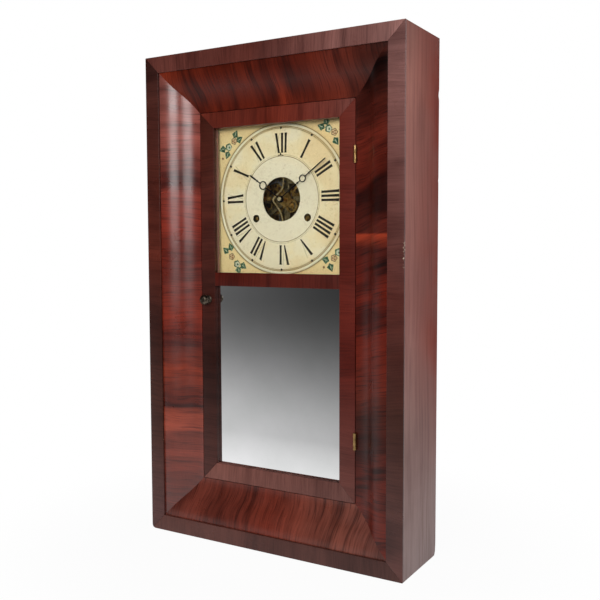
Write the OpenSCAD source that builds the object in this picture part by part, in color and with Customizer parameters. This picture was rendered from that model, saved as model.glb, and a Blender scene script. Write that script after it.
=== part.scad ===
// Ogee mantel clock with a weight-driven strap-plate movement, in millimetres.
// +Z is up, +X is to the right seen from the front, and the front faces -Y.
// Depths are measured from the plane of the outer front band towards the back board.
// Places in the movement are [across, up] from the middle of the dial, seen from the front.
// The origin is at the middle of the underside.

/* [Case] */
// Width over the side boards
case_w = 388; // [376:1:404]
// Height over the top and bottom boards
case_h = 660.4; // [640:0.1:690]
// Depth from the front band to the outside of the back board
case_d = 106.5; // [98:0.5:114]
// Thickness of the side, top and bottom boards
board_t = 14; // [12:0.5:15]
// Thickness of the back board
back_t = 6.5; // [5:0.5:7]
// Width of the flat outer band on the front
band_w = 22; // [20:0.5:24]
// Thickness of the flat outer band
band_t = 3; // [2:0.5:3.5]
// Radius of the hanging hole in the back board
hang_r = 6; // [4:0.5:8]
// Distance from the top of the case to the hanging hole
hang_drop = 34; // [32:1:40]

/* [Ogee moulding] */
// Width of the ogee face on the sides
ogee_side_w = 52.7; // [51.5:0.1:54]
// Width of the ogee face at the top and bottom
ogee_rail_w = 55.7; // [54:0.1:57]
// Thickness of the moulding at its inner edge
moulding_t = 16; // [15.5:0.1:16.5]

/* [Door] */
// Thickness of the door frame
door_t = 14.5; // [13.5:0.1:14.8]
// Width of the door stiles
stile_w = 22.2; // [21:0.1:23]
// Width of the top rail
top_rail_w = 21.2; // [20:0.1:23]
// Width of the bottom rail
bottom_rail_w = 22.9; // [21:0.1:24]
// Width of the middle rail
middle_rail_w = 18.2; // [16:0.1:20]
// Distance of the middle rail's lower edge below the dial's middle
middle_rail_drop = 115.7; // [113:0.1:122]
// Thickness of the lip in front of the glass
lip_t = 6.5; // [5.5:0.1:7]
// Width of the rebate that holds the glass
rebate_w = 5; // [4:0.1:5.5]
// Thickness of the clear glass and of the mirror
glass_t = 2; // [1.5:0.1:2.5]
// Clearance between the glass and its rebate
glass_gap = 0.6; // [0.3:0.1:1]
// Depth of the glazing strips
strip_t = 4; // [3:0.1:5]
// Clearance round the door
door_gap = 0.6; // [0.4:0.1:1]
// Clearance on the hinged side of the door
hinge_gap = 1.2; // [1.2:0.05:1.6]

/* [Hinges] */
// Height of one hinge
hinge_h = 21; // [15:0.5:26]
// Distance from the door's lower end to the lower hinge's middle
hinge_low = 79.7; // [60:0.1:120]
// Distance from the door's upper end to the upper hinge's middle
hinge_high = 68.1; // [60:0.1:120]
// Radius of the knuckles
knuckle_r = 2.2; // [2:0.05:2.4]
// Radius of the hinge pins
hinge_pin_r = 0.8; // [0.6:0.05:1]
// Width of one leaf
leaf_w = 12; // [9:0.5:13]
// Thickness of one leaf
leaf_t = 0.5; // [0.4:0.05:0.55]

/* [Door knob] */
// Distance of the knob below the middle rail's lower edge
knob_drop = 18.9; // [14:0.1:35]
// Radius of the knob's head
knob_r = 7; // [6:0.1:8]
// Length of the knob in front of the door
knob_l = 14.5; // [12:0.5:17]
// Radius of the knob's shaft
knob_shaft_r = 2; // [1.5:0.1:2.5]
// Length of the catch from the shaft's axis
catch_l = 17; // [15:0.5:22]
// Width of the catch
catch_w = 6; // [5:0.5:7]
// Thickness of the catch
catch_t = 1.5; // [1:0.1:1.8]

/* [Dial] */
// Distance of the dial's middle below the top of the case
dial_drop = 196.8; // [193:0.1:200]
// Distance between the back of the door and the front of the dial
dial_gap = 4; // [3:0.1:5]
// Width of the dial's border behind each stile
dial_over = 6.9; // [4:0.1:9]
// Height of the dial
dial_h = 226; // [216:1:230]
// Thickness of the dial
dial_t = 0.9; // [0.6:0.1:1.2]
// Radius of the opening in the middle
dial_hole_r = 29; // [24:0.5:30]
// Distance of the raised ring round the hours from the dial's side
ring_inset = 7; // [5:0.5:11]
// Height that the raised ring stands proud
ring_rise = 0.6; // [0.3:0.1:0.8]
// Distance of each winding hole from the middle
winding_x = 39.9; // [39:0.1:41]
// Distance of the winding holes below the middle
winding_drop = 24.8; // [24:0.1:26]
// Radius of the winding holes
winding_hole_r = 5.2; // [3.8:0.1:5.6]

/* [Hands] */
// Distance between the minute hand's tip and the raised ring
minute_short = 12; // [9:0.5:19]
// Distance between the hour hand's tip and the raised ring
hour_short = 38; // [35:0.5:43]
// Distance of the minute hand's ring from the axis
minute_ring_at = 43.3; // [40:0.1:48]
// Distance of the hour hand's ring from the axis
hour_ring_at = 33.3; // [30:0.1:38]
// Outer radius of the minute hand's ring
minute_ring_r = 5; // [4:0.1:6]
// Outer radius of the hour hand's ring
hour_ring_r = 5.8; // [4.8:0.1:6.5]
// Width of the wire-like parts of the hands
hand_wire = 1.3; // [1:0.1:1.6]
// Thickness of the hands
hand_t = 0.6; // [0.4:0.1:0.8]
// Hours shown at rest
hours = 10; // [0:1:11]
// Minutes shown at rest
minutes = 9; // [0:1:59]

/* [Movement plates] */
// Distance between the front of the dial and the front of the front plate
motion_room = 14.5; // [14.3:0.1:15]
// Thickness of the plates
plate_t = 1.8; // [1.5:0.1:1.9]
// Distance between the plates
bay = 29; // [28.8:0.1:29.4]
// Width of the plates
plate_w = 108; // [106:1:112]
// Height of the plates above the dial's middle
plate_up = 76; // [76:0.5:80]
// Height of the plates below the dial's middle
plate_down = 66; // [66:0.5:70]
// Width of the plates' outer straps
frame_w = 10; // [10:0.5:12]
// Width of the inner straps
strap_w = 8; // [7:0.5:9]
// Radius of the pillars
pillar_r = 3; // [2.5:0.1:3.4]
// Thickness of the blocks behind the movement
block_t = 10.4; // [10.2:0.1:12]

/* [Wheels] */
// Radius of the arbors between the plates
arbor_r = 1.1; // [1:0.05:1.2]
// Running clearance of the pivots and bores in the train
pivot_gap = 0.1; // [0.08:0.01:0.14]
// Radius of the cord drums
drum_r = 10.7; // [10:0.1:11]
// Length of the cord drums
drum_l = 12; // [10:0.5:12.5]
// Teeth of the escape wheel
escape_teeth = 42; // [36:1:44]
// Radius of the escape wheel
escape_r = 14; // [13:0.1:14.4]
// Height of the escape arbor above the dial's middle
escape_up = 41; // [40.4:0.1:41.4]
// Height of the pendulum's axis above the dial's middle
pivot_up = 61; // [60.4:0.1:61.8]
// Distance between the pallets and the escape wheel, with the verge upright
pallet_gap = 1.25; // [1.1:0.05:1.6]

/* [Pendulum] */
// Distance from the pendulum's axis to the middle of the bob
pendulum_l = 280; // [262:1:290]
// Radius of the bob
bob_r = 17; // [15:0.5:19]
// Thickness of the bob
bob_t = 8; // [6:0.5:9]
// Radius of the pendulum rod
rod_r = 1.1; // [0.9:0.05:1.2]
// Distance that the rod bows out to the left of the hand arbor
rod_bow = 16.5; // [14:0.5:18]

/* [Weights and cords] */
// Radius of one weight
weight_r = 25; // [22:0.5:25.5]
// Height of one weight
weight_h = 100; // [80:1:120]
// Clearance between a weight and the side board
weight_gap = 11; // [9:0.5:13]
// Height of a weight's underside above the bottom board
weight_rest = 12; // [10:1:20]
// Radius of the cords
cord_r = 1; // [0.8:0.05:1.1]
// Radius of the pulleys
pulley_r = 16; // [15.5:0.1:16.5]
// Thickness of the pulleys
pulley_t = 6; // [5:0.1:6.5]
// Depth that the pulleys' axles lie below the top of the case
pulley_drop = 10.4; // [10:0.1:11]

/* [Gong] */
// Distance of the gong's middle below the dial's middle
gong_drop = 138.6; // [136:0.1:144]
// Radius of the gong's outer turn
gong_r = 42; // [38:0.5:44]
// Turns of the gong
gong_turns = 4.25; // [3.25:0.5:4.25]
// Radius of the gong wire
gong_wire_r = 1.3; // [1:0.1:1.5]

/* [Hidden] */
$fn = 48;

// A circle of this many sides is a true polygon, as filed arbors and stamped wheels have here.
flats = 12;
// Clearance where two pieces of different bodies lie close beside each other
near = 0.3;
// Running clearance of the hinge pins, the knob's shaft and the pulleys
shaft_gap = 0.05;
// Width of a closed joint between strips that lie end to end
hairline = 0.05;
// Flat steps in each half of the ogee face
ogee_steps = 16;

// Depths, from the back board forwards: the movement hangs on it, and the dial and the door lie before it.
plate_back_d = case_d - back_t - block_t - plate_t;
inside = plate_back_d - bay;
plate_d = inside - plate_t;
dial_d = plate_d - motion_room;
door_d = dial_d - dial_gap - door_t;
ogee_fall = door_d - band_t;

// Case
open_x = case_w / 2 - band_w - ogee_side_w;
open_low = band_w + ogee_rail_w;
open_high = case_h - open_low;
mitre_slope = ogee_rail_w / ogee_side_w;
dial_z = case_h - dial_drop;
dial_w = 2 * (open_x - stile_w + dial_over);
ring_r = dial_w / 2 - ring_inset;
partition_t = 7;
partition_x = dial_w / 2 - 4;
partition_top = case_h - 70;
block_w = 52;
block_h = 16;

// Door
door_l = -open_x + door_gap;
door_r = open_x - hinge_gap;
door_b = open_low + door_gap;
door_top = open_high - door_gap;
middle_rail_z = dial_z - middle_rail_drop;
glass_d = door_d + lip_t;
// The share of a stile or rail that is left behind the glass rebate
back_share = 1 - rebate_w / stile_w;
hinge_x = (door_r + open_x) / 2;
hinge_d = door_d - 1.5;
knob_x = door_l + stile_w / 2;
knob_z = middle_rail_z - knob_drop;
catch_d = door_d + moulding_t + near;

// Depths in the movement
carry_d = inside + 1.2;
carry_t = 1.2;
second_d = inside + 3.7;
second_t = 1.4;
third_d = inside + 8.2;
third_t = 1.2;
drum_d = inside + 9.2;
main_d = inside + 22.7;
main_t = 1.6;
cord_d = drum_d + drum_l / 2;
motion_d = plate_d - 2.6;
hour_d = motion_d - 1.8;
motion_t = 1.1;
count_d = plate_d - 2.8;
count_t = 0.8;
escape_d = plate_d - 6;
escape_t = 1;
crutch_d = escape_d - 1.6;
crutch_t = 0.9;
rod_d = crutch_d - 1.4;
hour_hand_d = dial_d - 2.3;
minute_hand_d = dial_d - 4.7;
minute_l = ring_r - minute_short;
hour_l = ring_r - hour_short;

// Wheel counts and modules, which are pitch diameters in millimetres for each tooth
main_n = 60;
main_m = 0.87;
second_n = 66;
second_m = 0.7;
third_n = 60;
third_m = 0.68;
carry_n = 36;
carry_m = 0.75;
lift_n = 60;
lift_m = 0.75;
fly_n = 50;
fly_m = 0.65;
count_n = 78;
count_m = 0.5;
cannon_n = 12;
minute_n = 36;
motion_m = 0.5;
hour_pinion_n = 10;
hour_n = 40;
hour_m = 0.48;
pins_8 = 8;
pins_7 = 7;
lift_pins = 8;
lift_pin_r = 0.8;
lift_reach = 15;
fly_r = 15;

// Shape of the teeth and lantern pins, in modules
tooth_root = 1.3;
tooth_tip = 0.4;
tooth_rise = 0.7;
tooth_sink = 0.95;
trundle = 0.45;
cap_over = 1.1;

// Places in the movement
centre = [0, 0];
time_main = [winding_x, -winding_drop];
strike_main = [-winding_x, -winding_drop];
main_reach = (main_n + pins_8) / 2 * main_m;
second = meet(centre, carry_n * carry_m, time_main, main_reach);
strike_second = [-second[0], second[1]];
escape = [0, escape_up];
third = meet(escape, (third_n + pins_7) / 2 * third_m, second, (second_n + pins_7) / 2 * second_m);
strike_third = polar(strike_second, (lift_n + pins_7) / 2 * lift_m, 107);
fly_at = polar(strike_third, (fly_n + pins_7) / 2 * fly_m, 60);
count_at = polar(strike_second, (count_n + pins_8) / 2 * count_m, 144.5);
minute_at = polar(centre, (cannon_n + minute_n) / 2 * motion_m, -45);
verge_at = [0, pivot_up];
lever_at = [-12, third[1]];
hammer_at = [-12, -plate_down + frame_w / 2];
pillar_x = plate_w / 2 - 6;
pillar_places = [
    for (x = [-1, 1]) for (z = [plate_up - 8, -plate_down + 6]) [x * pillar_x, z]
];

// Weights, cords and pulleys
weight_x = case_w / 2 - board_t - weight_gap - weight_r;
pulley_z = case_h - pulley_drop;
cord_turn_r = pulley_r - cord_r;
groove_r = cord_turn_r - cord_r - near;
pulley_x = weight_x - cord_turn_r;
axle_r = 1.2;
axle_l = 18;
slot_w = pulley_t + 3;
slot_in = pulley_r + 6;
slot_out = pulley_r + 2;
cover_r = 26;
cover_sink = 16;
cover_w = slot_w + 8;
cover_t = 0.6;
drum_cord_r = drum_r + cord_r + near;
drum_place = [winding_x, dial_z - winding_drop];
pulley_place = [pulley_x, pulley_z];
cord_span = dist(drum_place, pulley_place);
cord_lean = aim(drum_place, pulley_place) + acos((drum_cord_r - cord_turn_r) / cord_span);
weight_z = board_t + weight_rest;
eye_r = 6;
eye_wire = 1.6;
eye_up = 5;
drop_low = weight_z + weight_h + eye_up + eye_r + eye_wire + near;

// Gong and hammer
gong_z = dial_z - gong_drop;
gong_d = case_d - back_t - 10;
gong_base_r = 16;
gong_post_r = 4.5;
gong_start = 9;
gong_pitch = (gong_r - gong_start) / gong_turns;
hammer_side = 129;
gong_past = 20;
gong_end = hammer_side + gong_past;
gong_steps = 24;
head_r = 4;
head_at = polar([0, gong_z - dial_z], gong_r + gong_wire_r + head_r + 0.5, hammer_side);

// Angles of the hands at rest, anticlockwise from three o'clock
minute_angle = 90 - minutes * 6;
hour_angle = 90 - (hours + minutes / 60) * 30;

function polar(c, r, a) = [c[0] + r * cos(a), c[1] + r * sin(a)];
function aim(a, b) = atan2(b[1] - a[1], b[0] - a[0]);
function dist(a, b) = norm(b - a);
// The point at distance ra from a and rb from b, on the left of the way from a to b
function meet(a, ra, b, rb) =
    let (gap = dist(a, b))
    polar(a, ra, aim(a, b) + acos((ra * ra + gap * gap - rb * rb) / (2 * ra * gap)));
function y_at(d) = d - case_d / 2;
// The height on the mitre for an inset from the side of the case
function mitre(a) = band_w + (a - band_w) * mitre_slope;

// A flat shape drawn as the front shows it, from depth d to depth d + t
module slab(d, t) {
    translate([0, y_at(d + t), 0]) rotate([90, 0, 0]) linear_extrude(height = t) children();
}

// The same, drawn round the middle of the dial
module works(d, t) {
    slab(d, t) translate([0, dial_z]) children();
}

// A round bar along the depth, at a place given from the middle of the dial
module bar(p, d, l, r, sides = 48) {
    translate([p[0], y_at(d), dial_z + p[1]]) rotate([-90, 0, 0]) cylinder(h = l, r = r, $fn = sides);
}

module board(x0, x1, d0, d1, z0, z1) {
    translate([x0, y_at(d0), z0]) cube([x1 - x0, d1 - d0, z1 - z0]);
}

// A flat strap between two places, with square ends
module strap(a, b, w) {
    translate(a) rotate(aim(a, b)) translate([0, -w / 2]) square([dist(a, b), w]);
}

module disc(p, r, sides = flats) {
    translate(p) circle(r = r, $fn = sides);
}

// A bent wire that lies in one plane, with its points as [across, height], at depth d
module wire(points, r, d, sides = 8) {
    n = len(points);
    function way(i) = points[min(i + 1, n - 1)] - points[max(i - 1, 0)];
    // The half angle of a bend, so that the wire keeps its width round it
    function bend(i) =
        i == 0 || i == n - 1 ? 0 : (aim(points[i], points[i + 1]) - aim(points[i - 1], points[i])) / 2;
    function ring(i) =
        let (a = i == 0 || i == n - 1 ? aim([0, 0], way(i)) : aim(points[i - 1], points[i]) + bend(i))
        [
            for (k = [0 : sides - 1])
                let (b = 360 * (k + 0.5) / sides, s = r * cos(b) / cos(bend(i)), t = r * sin(b))
                [points[i][0] - s * sin(a), y_at(d) + t, points[i][1] + s * cos(a)]
        ];
    polyhedron(
        points = [for (i = [0 : n - 1]) each ring(i)],
        faces = [
            [for (k = [sides - 1 : -1 : 0]) k],
            for (i = [0 : n - 2]) for (k = [0 : sides - 1]) each [
                [i * sides + k, (i + 1) * sides + (k + 1) % sides, (i + 1) * sides + k],
                [i * sides + k, i * sides + (k + 1) % sides, (i + 1) * sides + (k + 1) % sides]
            ],
            [for (k = [0 : sides - 1]) (n - 1) * sides + k]
        ]
    );
}

// Outline of a wheel with straight-sided pointed teeth, one of them at the angle given
module toothed(n, m, at) {
    r = n * m / 2;
    corners = [
        [r - tooth_sink * m, -tooth_root], [r + tooth_rise * m, -tooth_tip],
        [r + tooth_rise * m, tooth_tip], [r - tooth_sink * m, tooth_root]
    ];
    polygon([
        for (i = [0 : n - 1]) for (c = corners)
            polar([0, 0], c[0], at + i * 360 / n + c[1] * m / 2 / c[0] * 180 / PI)
    ]);
}

// The openings between a wheel's arms
module arm_openings(inner, outer, arms, arm_w, at) {
    steps = 6;
    for (k = [0 : arms - 1]) {
        a0 = at + k * 360 / arms;
        half = 180 / arms;
        inner_half = half - asin(arm_w / 2 / inner);
        outer_half = half - asin(arm_w / 2 / outer);
        polygon(concat(
            [for (s = [0 : steps]) polar([0, 0], outer, a0 + outer_half * (2 * s / steps - 1))],
            [for (s = [0 : 2]) polar([0, 0], inner, a0 + inner_half * (1 - s))]
        ));
    }
}

// A crossed-out wheel with a hub hole
module wheel(p, n, m, at, d, t, hole, arms = 4) {
    rim = n * m / 2 - tooth_sink * m - 2;
    works(d, t) translate(p) difference() {
        toothed(n, m, at);
        arm_openings(4.6, rim, arms, 2.4, at + 20);
        circle(r = hole, $fn = flats);
    }
}

// A lantern pinion beside a wheel that lies from depth d to d + t, with a gap at the angle given
module lantern(p, n, m, at, d, t, over = 0.8, cap = 0.9) {
    r = n * m / 2;
    bar(p, d - over - cap, cap, r + cap_over, flats);
    bar(p, d + t + over, cap, r + cap_over, flats);
    for (k = [0 : n - 1])
        bar(polar(p, r, at + (k + 0.5) * 360 / n), d - over - cap / 2, t + 2 * over + cap, trundle * m, 6);
}

// An arbor with thinner pivots in both plates
module arbor(p, front = plate_d - 0.3) {
    bar(p, front, plate_back_d + plate_t + 0.3 - front, arbor_r * 0.65, flats);
    bar(p, inside + 0.3, bay - 0.6, arbor_r, flats);
}

module side_board() {
    board(case_w / 2 - board_t, case_w / 2, band_t, case_d, 0, case_h);
}
module side_board_left() {
    color("#4a2a22") mirror([1, 0, 0]) side_board();
}
module side_board_right() {
    color("#8a5a50") side_board();
}

module top_board() {
    color("#6b4436") difference() {
        board(-case_w / 2 + board_t, case_w / 2 - board_t, band_t, case_d, case_h - board_t, case_h);
        for (s = [0, 1]) mirror([s, 0, 0]) {
            board(pulley_x - slot_in, pulley_x + slot_out, cord_d - slot_w / 2, cord_d + slot_w / 2,
                case_h - board_t - 1, case_h + 1);
            bar([pulley_x, pulley_z - dial_z], cord_d - axle_l / 2 - 0.1, axle_l + 0.2, axle_r + shaft_gap);
        }
    }
}
module bottom_board() {
    color("#6b4436")
        board(-case_w / 2 + board_t, case_w / 2 - board_t, band_t, case_d, 0, board_t);
}
module back_board() {
    x = case_w / 2 - board_t;
    color("#a9805c") difference() {
        board(-x, x, case_d - back_t, case_d, board_t, case_h - board_t);
        bar([0, case_h - hang_drop - dial_z], case_d - back_t - 1, back_t + 2, hang_r);
    }
}

// The flat outer band is four facing strips, mitred with a hairline joint.
module front_bands() {
    x = case_w / 2;
    xi = x - band_w;
    j = hairline;
    color("#5a302a") slab(0, band_t) {
        for (s = [-1, 1]) polygon([
            [s * x, j], [s * xi, band_w + j], [s * xi, case_h - band_w - j], [s * x, case_h - j]
        ]);
        polygon([[-x, case_h], [-xi, case_h - band_w], [xi, case_h - band_w], [x, case_h]]);
        polygon([[-x, 0], [x, 0], [xi, band_w], [-xi, band_w]]);
    }
}

// The ogee face as [inset, depth]: a convex arc that runs into a concave one
function ogee_face(w) =
    let (half = w / 2, fall = ogee_fall / 2)
    let (r = (half * half + fall * fall) / (2 * fall), turn = asin(half / r))
    concat(
        [
            for (k = [0 : ogee_steps])
                let (a = turn * k / ogee_steps)
                [band_w + r * sin(a), band_t + r * (1 - cos(a))]
        ],
        [
            for (k = [ogee_steps - 1 : -1 : 0])
                let (a = turn * k / ogee_steps)
                [band_w + w - r * sin(a), door_d - r * (1 - cos(a))]
        ]
    );
// Section of the moulding. Its back falls away outside the door, as it is planed from one thin board.
module ogee_section(w) {
    back = door_d + moulding_t;
    polygon(concat(
        [[board_t, band_t]],
        ogee_face(w),
        [[band_w + w, back], [band_w + w - 12, back], [board_t + 14, door_d - 2], [board_t, door_d - 2]]
    ));
}
// Each moulding is cut to the mitres by an outline that is drawn past its edges.
module ogee_side() {
    x = case_w / 2;
    outer = board_t - 2;
    inner = band_w + ogee_side_w + 2;
    intersection() {
        translate([-x, -case_d / 2, board_t])
            linear_extrude(height = case_h - 2 * board_t) ogee_section(ogee_side_w);
        slab(0, case_d) polygon([
            [-x + outer, mitre(outer)], [-x + inner, mitre(inner)],
            [-x + inner, case_h - mitre(inner)], [-x + outer, case_h - mitre(outer)]
        ]);
    }
}
module ogee_rail() {
    x = case_w / 2;
    outer = board_t - 2;
    inner = band_w + ogee_side_w + 2;
    intersection() {
        translate([-x, -case_d / 2, case_h]) rotate([0, 90, 0])
            linear_extrude(height = case_w) ogee_section(ogee_rail_w);
        slab(0, case_d) polygon([
            [-x + outer, case_h - mitre(outer)], [x - outer, case_h - mitre(outer)],
            [x - inner, case_h - mitre(inner)], [-x + inner, case_h - mitre(inner)]
        ]);
    }
}
module ogee_left() {
    color("#7c3426") ogee_side();
}
module ogee_right() {
    color("#7c3426") difference() {
        mirror([1, 0, 0]) ogee_side();
        hinge_recesses();
    }
}
module ogee_top() {
    color("#7c3426") ogee_rail();
}
module ogee_bottom() {
    color("#7c3426") translate([0, 0, case_h]) mirror([0, 0, 1]) ogee_rail();
}

// Upright boards that part the weight channels from the movement and carry the dial
module partitions() {
    x = partition_x;
    color("#a9805c") for (s = [0, 1]) mirror([s, 0, 0])
        board(x, x + partition_t, dial_d + dial_t, case_d - back_t, board_t, partition_top);
}
// Blocks on the back board that the back plate is screwed to
module movement_blocks() {
    color("#a9805c") difference() {
        for (z = [plate_up - block_h, -plate_down - 4])
            board(-block_w / 2, block_w / 2, plate_back_d + plate_t, case_d - back_t,
                dial_z + z, dial_z + z + block_h);
        // A recess for the end of the hammer's arbor
        bar(hammer_at, plate_back_d, plate_t + 1.5, 2);
    }
}

module dial() {
    color("#dccb9e") difference() {
        union() {
            works(dial_d, dial_t) translate([-dial_w / 2, -dial_h / 2]) square([dial_w, dial_h]);
            translate([0, y_at(dial_d), dial_z]) rotate([90, 0, 0]) rotate_extrude($fn = 96)
                polygon([[ring_r - 1.6, -dial_t / 2], [ring_r - 1.6, 0], [ring_r - 0.7, ring_rise],
                    [ring_r + 0.7, ring_rise], [ring_r + 1.6, 0], [ring_r + 1.6, -dial_t / 2]]);
        }
        bar(centre, dial_d - 2, dial_t + 4, dial_hole_r);
        for (p = [time_main, strike_main]) bar(p, dial_d - 2, dial_t + 4, winding_hole_r);
    }
}

// Wire axles in the top board, and the tin covers over its slots
module pulley_fittings() {
    color("#8f8f8c") for (s = [0, 1]) mirror([s, 0, 0]) {
        bar([pulley_x, pulley_z - dial_z], cord_d - axle_l / 2, axle_l, axle_r);
        slab(cord_d - cover_w / 2, cover_w) cover_arch(cover_r, cover_r - cover_t);
        for (d = [cord_d - cover_w / 2 - cover_t, cord_d + cover_w / 2])
            slab(d, cover_t) cover_arch(cover_r, 0);
    }
}
module cover_arch(r, inner) {
    difference() {
        translate([pulley_x - 2, case_h - cover_sink]) circle(r = r, $fn = 96);
        if (inner > 0) translate([pulley_x - 2, case_h - cover_sink]) circle(r = inner, $fn = 96);
        translate([pulley_x - 2 - 2 * r, case_h - 4 * r]) square([4 * r, 4 * r]);
    }
}

// The gong is one wire, wound as a flat spiral from its post on a cast base.
gong_points = concat(
    [[polar([0, 0], gong_post_r + 0.15, gong_end - 360 * gong_turns)[0],
        gong_z + polar([0, 0], gong_post_r + 0.15, gong_end - 360 * gong_turns)[1]]],
    [
        for (i = [0 : gong_steps * gong_turns])
            let (a = gong_end - 360 * (gong_turns - i / gong_steps))
            polar([0, gong_z], gong_start + gong_pitch * i / gong_steps, a)
    ]
);
module gong() {
    color("#55524e") {
        wire(gong_points, gong_wire_r, gong_d, 6);
        bar([0, gong_z - dial_z], gong_d - 4, case_d - back_t - gong_d + 1, gong_post_r);
        bar([0, gong_z - dial_z], case_d - back_t - 3, 3, gong_base_r);
    }
}

// The cord's stretch from the drum over the pulley, which nothing moves sideways
cord_points = concat(
    [polar(drum_place, drum_cord_r, cord_lean)],
    [for (k = [0 : 12]) polar(pulley_place, cord_turn_r, cord_lean * (1 - k / 12))]
);
module cord_runs() {
    color("#d9cfae") for (s = [0, 1]) mirror([s, 0, 0]) wire(cord_points, cord_r, cord_d);
}
module cord_drop(x) {
    color("#d9cfae") translate([x, y_at(cord_d), drop_low])
        cylinder(h = pulley_z - drop_low, r = cord_r, $fn = 8);
}
module time_cord_drop() {
    cord_drop(weight_x);
}
module strike_cord_drop() {
    cord_drop(-weight_x);
}

// Stiles and rails have their full width in front of the glass, and what the rebate leaves behind it.
// Each is cut to the mitres by an outline that is drawn past its edges.
past = 0.2;
module stile(x0, side) {
    intersection() {
        for (layer = [[lip_t, stile_w], [door_t, stile_w * back_share]])
            slab(door_d, layer[0]) translate([side > 0 ? x0 : x0 - layer[1], door_b - 1])
                square([layer[1], door_top - door_b + 2]);
        slab(door_d - 1, door_t + 2) polygon([
            [x0 - side * past * stile_w, door_b - past * bottom_rail_w],
            [x0 + side * (1 + past) * stile_w, door_b + (1 + past) * bottom_rail_w],
            [x0 + side * (1 + past) * stile_w, door_top - (1 + past) * top_rail_w],
            [x0 - side * past * stile_w, door_top + past * top_rail_w]
        ]);
    }
}
module rail(z0, w, side) {
    intersection() {
        for (layer = [[lip_t, w], [door_t, w * back_share]])
            slab(door_d, layer[0]) translate([door_l - 1, side > 0 ? z0 : z0 - layer[1]])
                square([door_r - door_l + 2, layer[1]]);
        slab(door_d - 1, door_t + 2) polygon([
            [door_l - past * stile_w, z0 - side * past * w], [door_r + past * stile_w, z0 - side * past * w],
            [door_r - (1 + past) * stile_w, z0 + side * (1 + past) * w],
            [door_l + (1 + past) * stile_w, z0 + side * (1 + past) * w]
        ]);
    }
}
module door_stile_left() {
    color("#4a1c18") difference() {
        stile(door_l, 1);
        bar([knob_x, knob_z - dial_z], door_d - 1, door_t + 2, knob_shaft_r + shaft_gap);
    }
}
module door_stile_right() {
    color("#5a2a28") difference() {
        stile(door_r, -1);
        hinge_recesses();
    }
}
module door_rail_top() {
    color("#6b2a1c") rail(door_top, top_rail_w, -1);
}
module door_rail_bottom() {
    color("#5f3a38") rail(door_b, bottom_rail_w, 1);
}
module door_rail_middle() {
    high = middle_rail_z + middle_rail_w;
    color("#4a1c18") {
        board(door_l + stile_w, door_r - stile_w, door_d, glass_d, middle_rail_z, high);
        board(door_l + stile_w * back_share, door_r - stile_w * back_share, glass_d, door_d + door_t,
            middle_rail_z + rebate_w, high - rebate_w);
    }
}

// The lower and upper edges of each opening that the glass closes, between the rebates' walls
lower_light = [door_b + bottom_rail_w * back_share, middle_rail_z + rebate_w];
upper_light = [middle_rail_z + middle_rail_w - rebate_w, door_top - top_rail_w * back_share];
light_l = door_l + stile_w * back_share;
light_r = door_r - stile_w * back_share;
module pane(light) {
    board(light_l + glass_gap, light_r - glass_gap, glass_d, glass_d + glass_t,
        light[0] + glass_gap, light[1] - glass_gap);
}
module upper_glass() {
    color("#dfe6e6", 0.35) pane(upper_light);
}
module mirror_glass() {
    color("#b9bcbd") pane(lower_light);
}
module glazing_strips() {
    w = rebate_w - glass_gap;
    d0 = glass_d + glass_t;
    color("#6b4436") for (light = [lower_light, upper_light]) {
        for (x = [light_l, light_r - w]) board(x, x + w, d0, d0 + strip_t, light[0], light[1]);
        for (z = [light[0], light[1] - w])
            board(light_l + w + hairline, light_r - w - hairline, d0, d0 + strip_t, z, z + w);
    }
}

hinge_places = [door_b + hinge_low, door_top - hinge_high];
knuckle_h = hinge_h / 3;
module hinge_recesses() {
    for (z = hinge_places) translate([hinge_x, y_at(hinge_d), z - hinge_h / 2 - near])
        cylinder(h = hinge_h + 2 * near, r = knuckle_r + near);
}
// One knuckle, at a height from the hinge's middle
module knuckle(z, bore) {
    translate([hinge_x, y_at(hinge_d), z]) difference() {
        cylinder(h = knuckle_h - 0.1, r = knuckle_r);
        if (bore > 0) translate([0, 0, -1]) cylinder(h = knuckle_h + 2, r = bore);
    }
}
module hinge_leaves_door() {
    x = door_r;
    clear = knuckle_r + near;
    d = hinge_d + hinge_pin_r + near;
    color("#b08d4f") for (z = hinge_places) {
        knuckle(z - knuckle_h / 2 + 0.05, hinge_pin_r + shaft_gap);
        difference() {
            board(x, x + leaf_t, d, hinge_d + leaf_w, z - hinge_h / 2, z + hinge_h / 2);
            for (e = [z - hinge_h / 2 - 1, z + knuckle_h / 2 - 0.05])
                board(x - 1, x + leaf_t + 1, hinge_d - 1, hinge_d + clear, e, e + knuckle_h + 1.05);
        }
    }
}
module hinge_leaves_case() {
    x = open_x;
    clear = knuckle_r + near;
    color("#b08d4f") for (z = hinge_places) {
        knuckle(z - hinge_h / 2, 0);
        knuckle(z + knuckle_h / 2 + 0.1, 0);
        translate([hinge_x, y_at(hinge_d), z - hinge_h / 2]) cylinder(h = hinge_h, r = hinge_pin_r);
        difference() {
            board(x - leaf_t, x, hinge_d, hinge_d + leaf_w, z - hinge_h / 2, z + hinge_h / 2);
            board(x - leaf_t - 1, x + 1, hinge_d - 1, hinge_d + clear,
                z - knuckle_h / 2 - 0.1, z + knuckle_h / 2 + 0.1);
        }
    }
}

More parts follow.
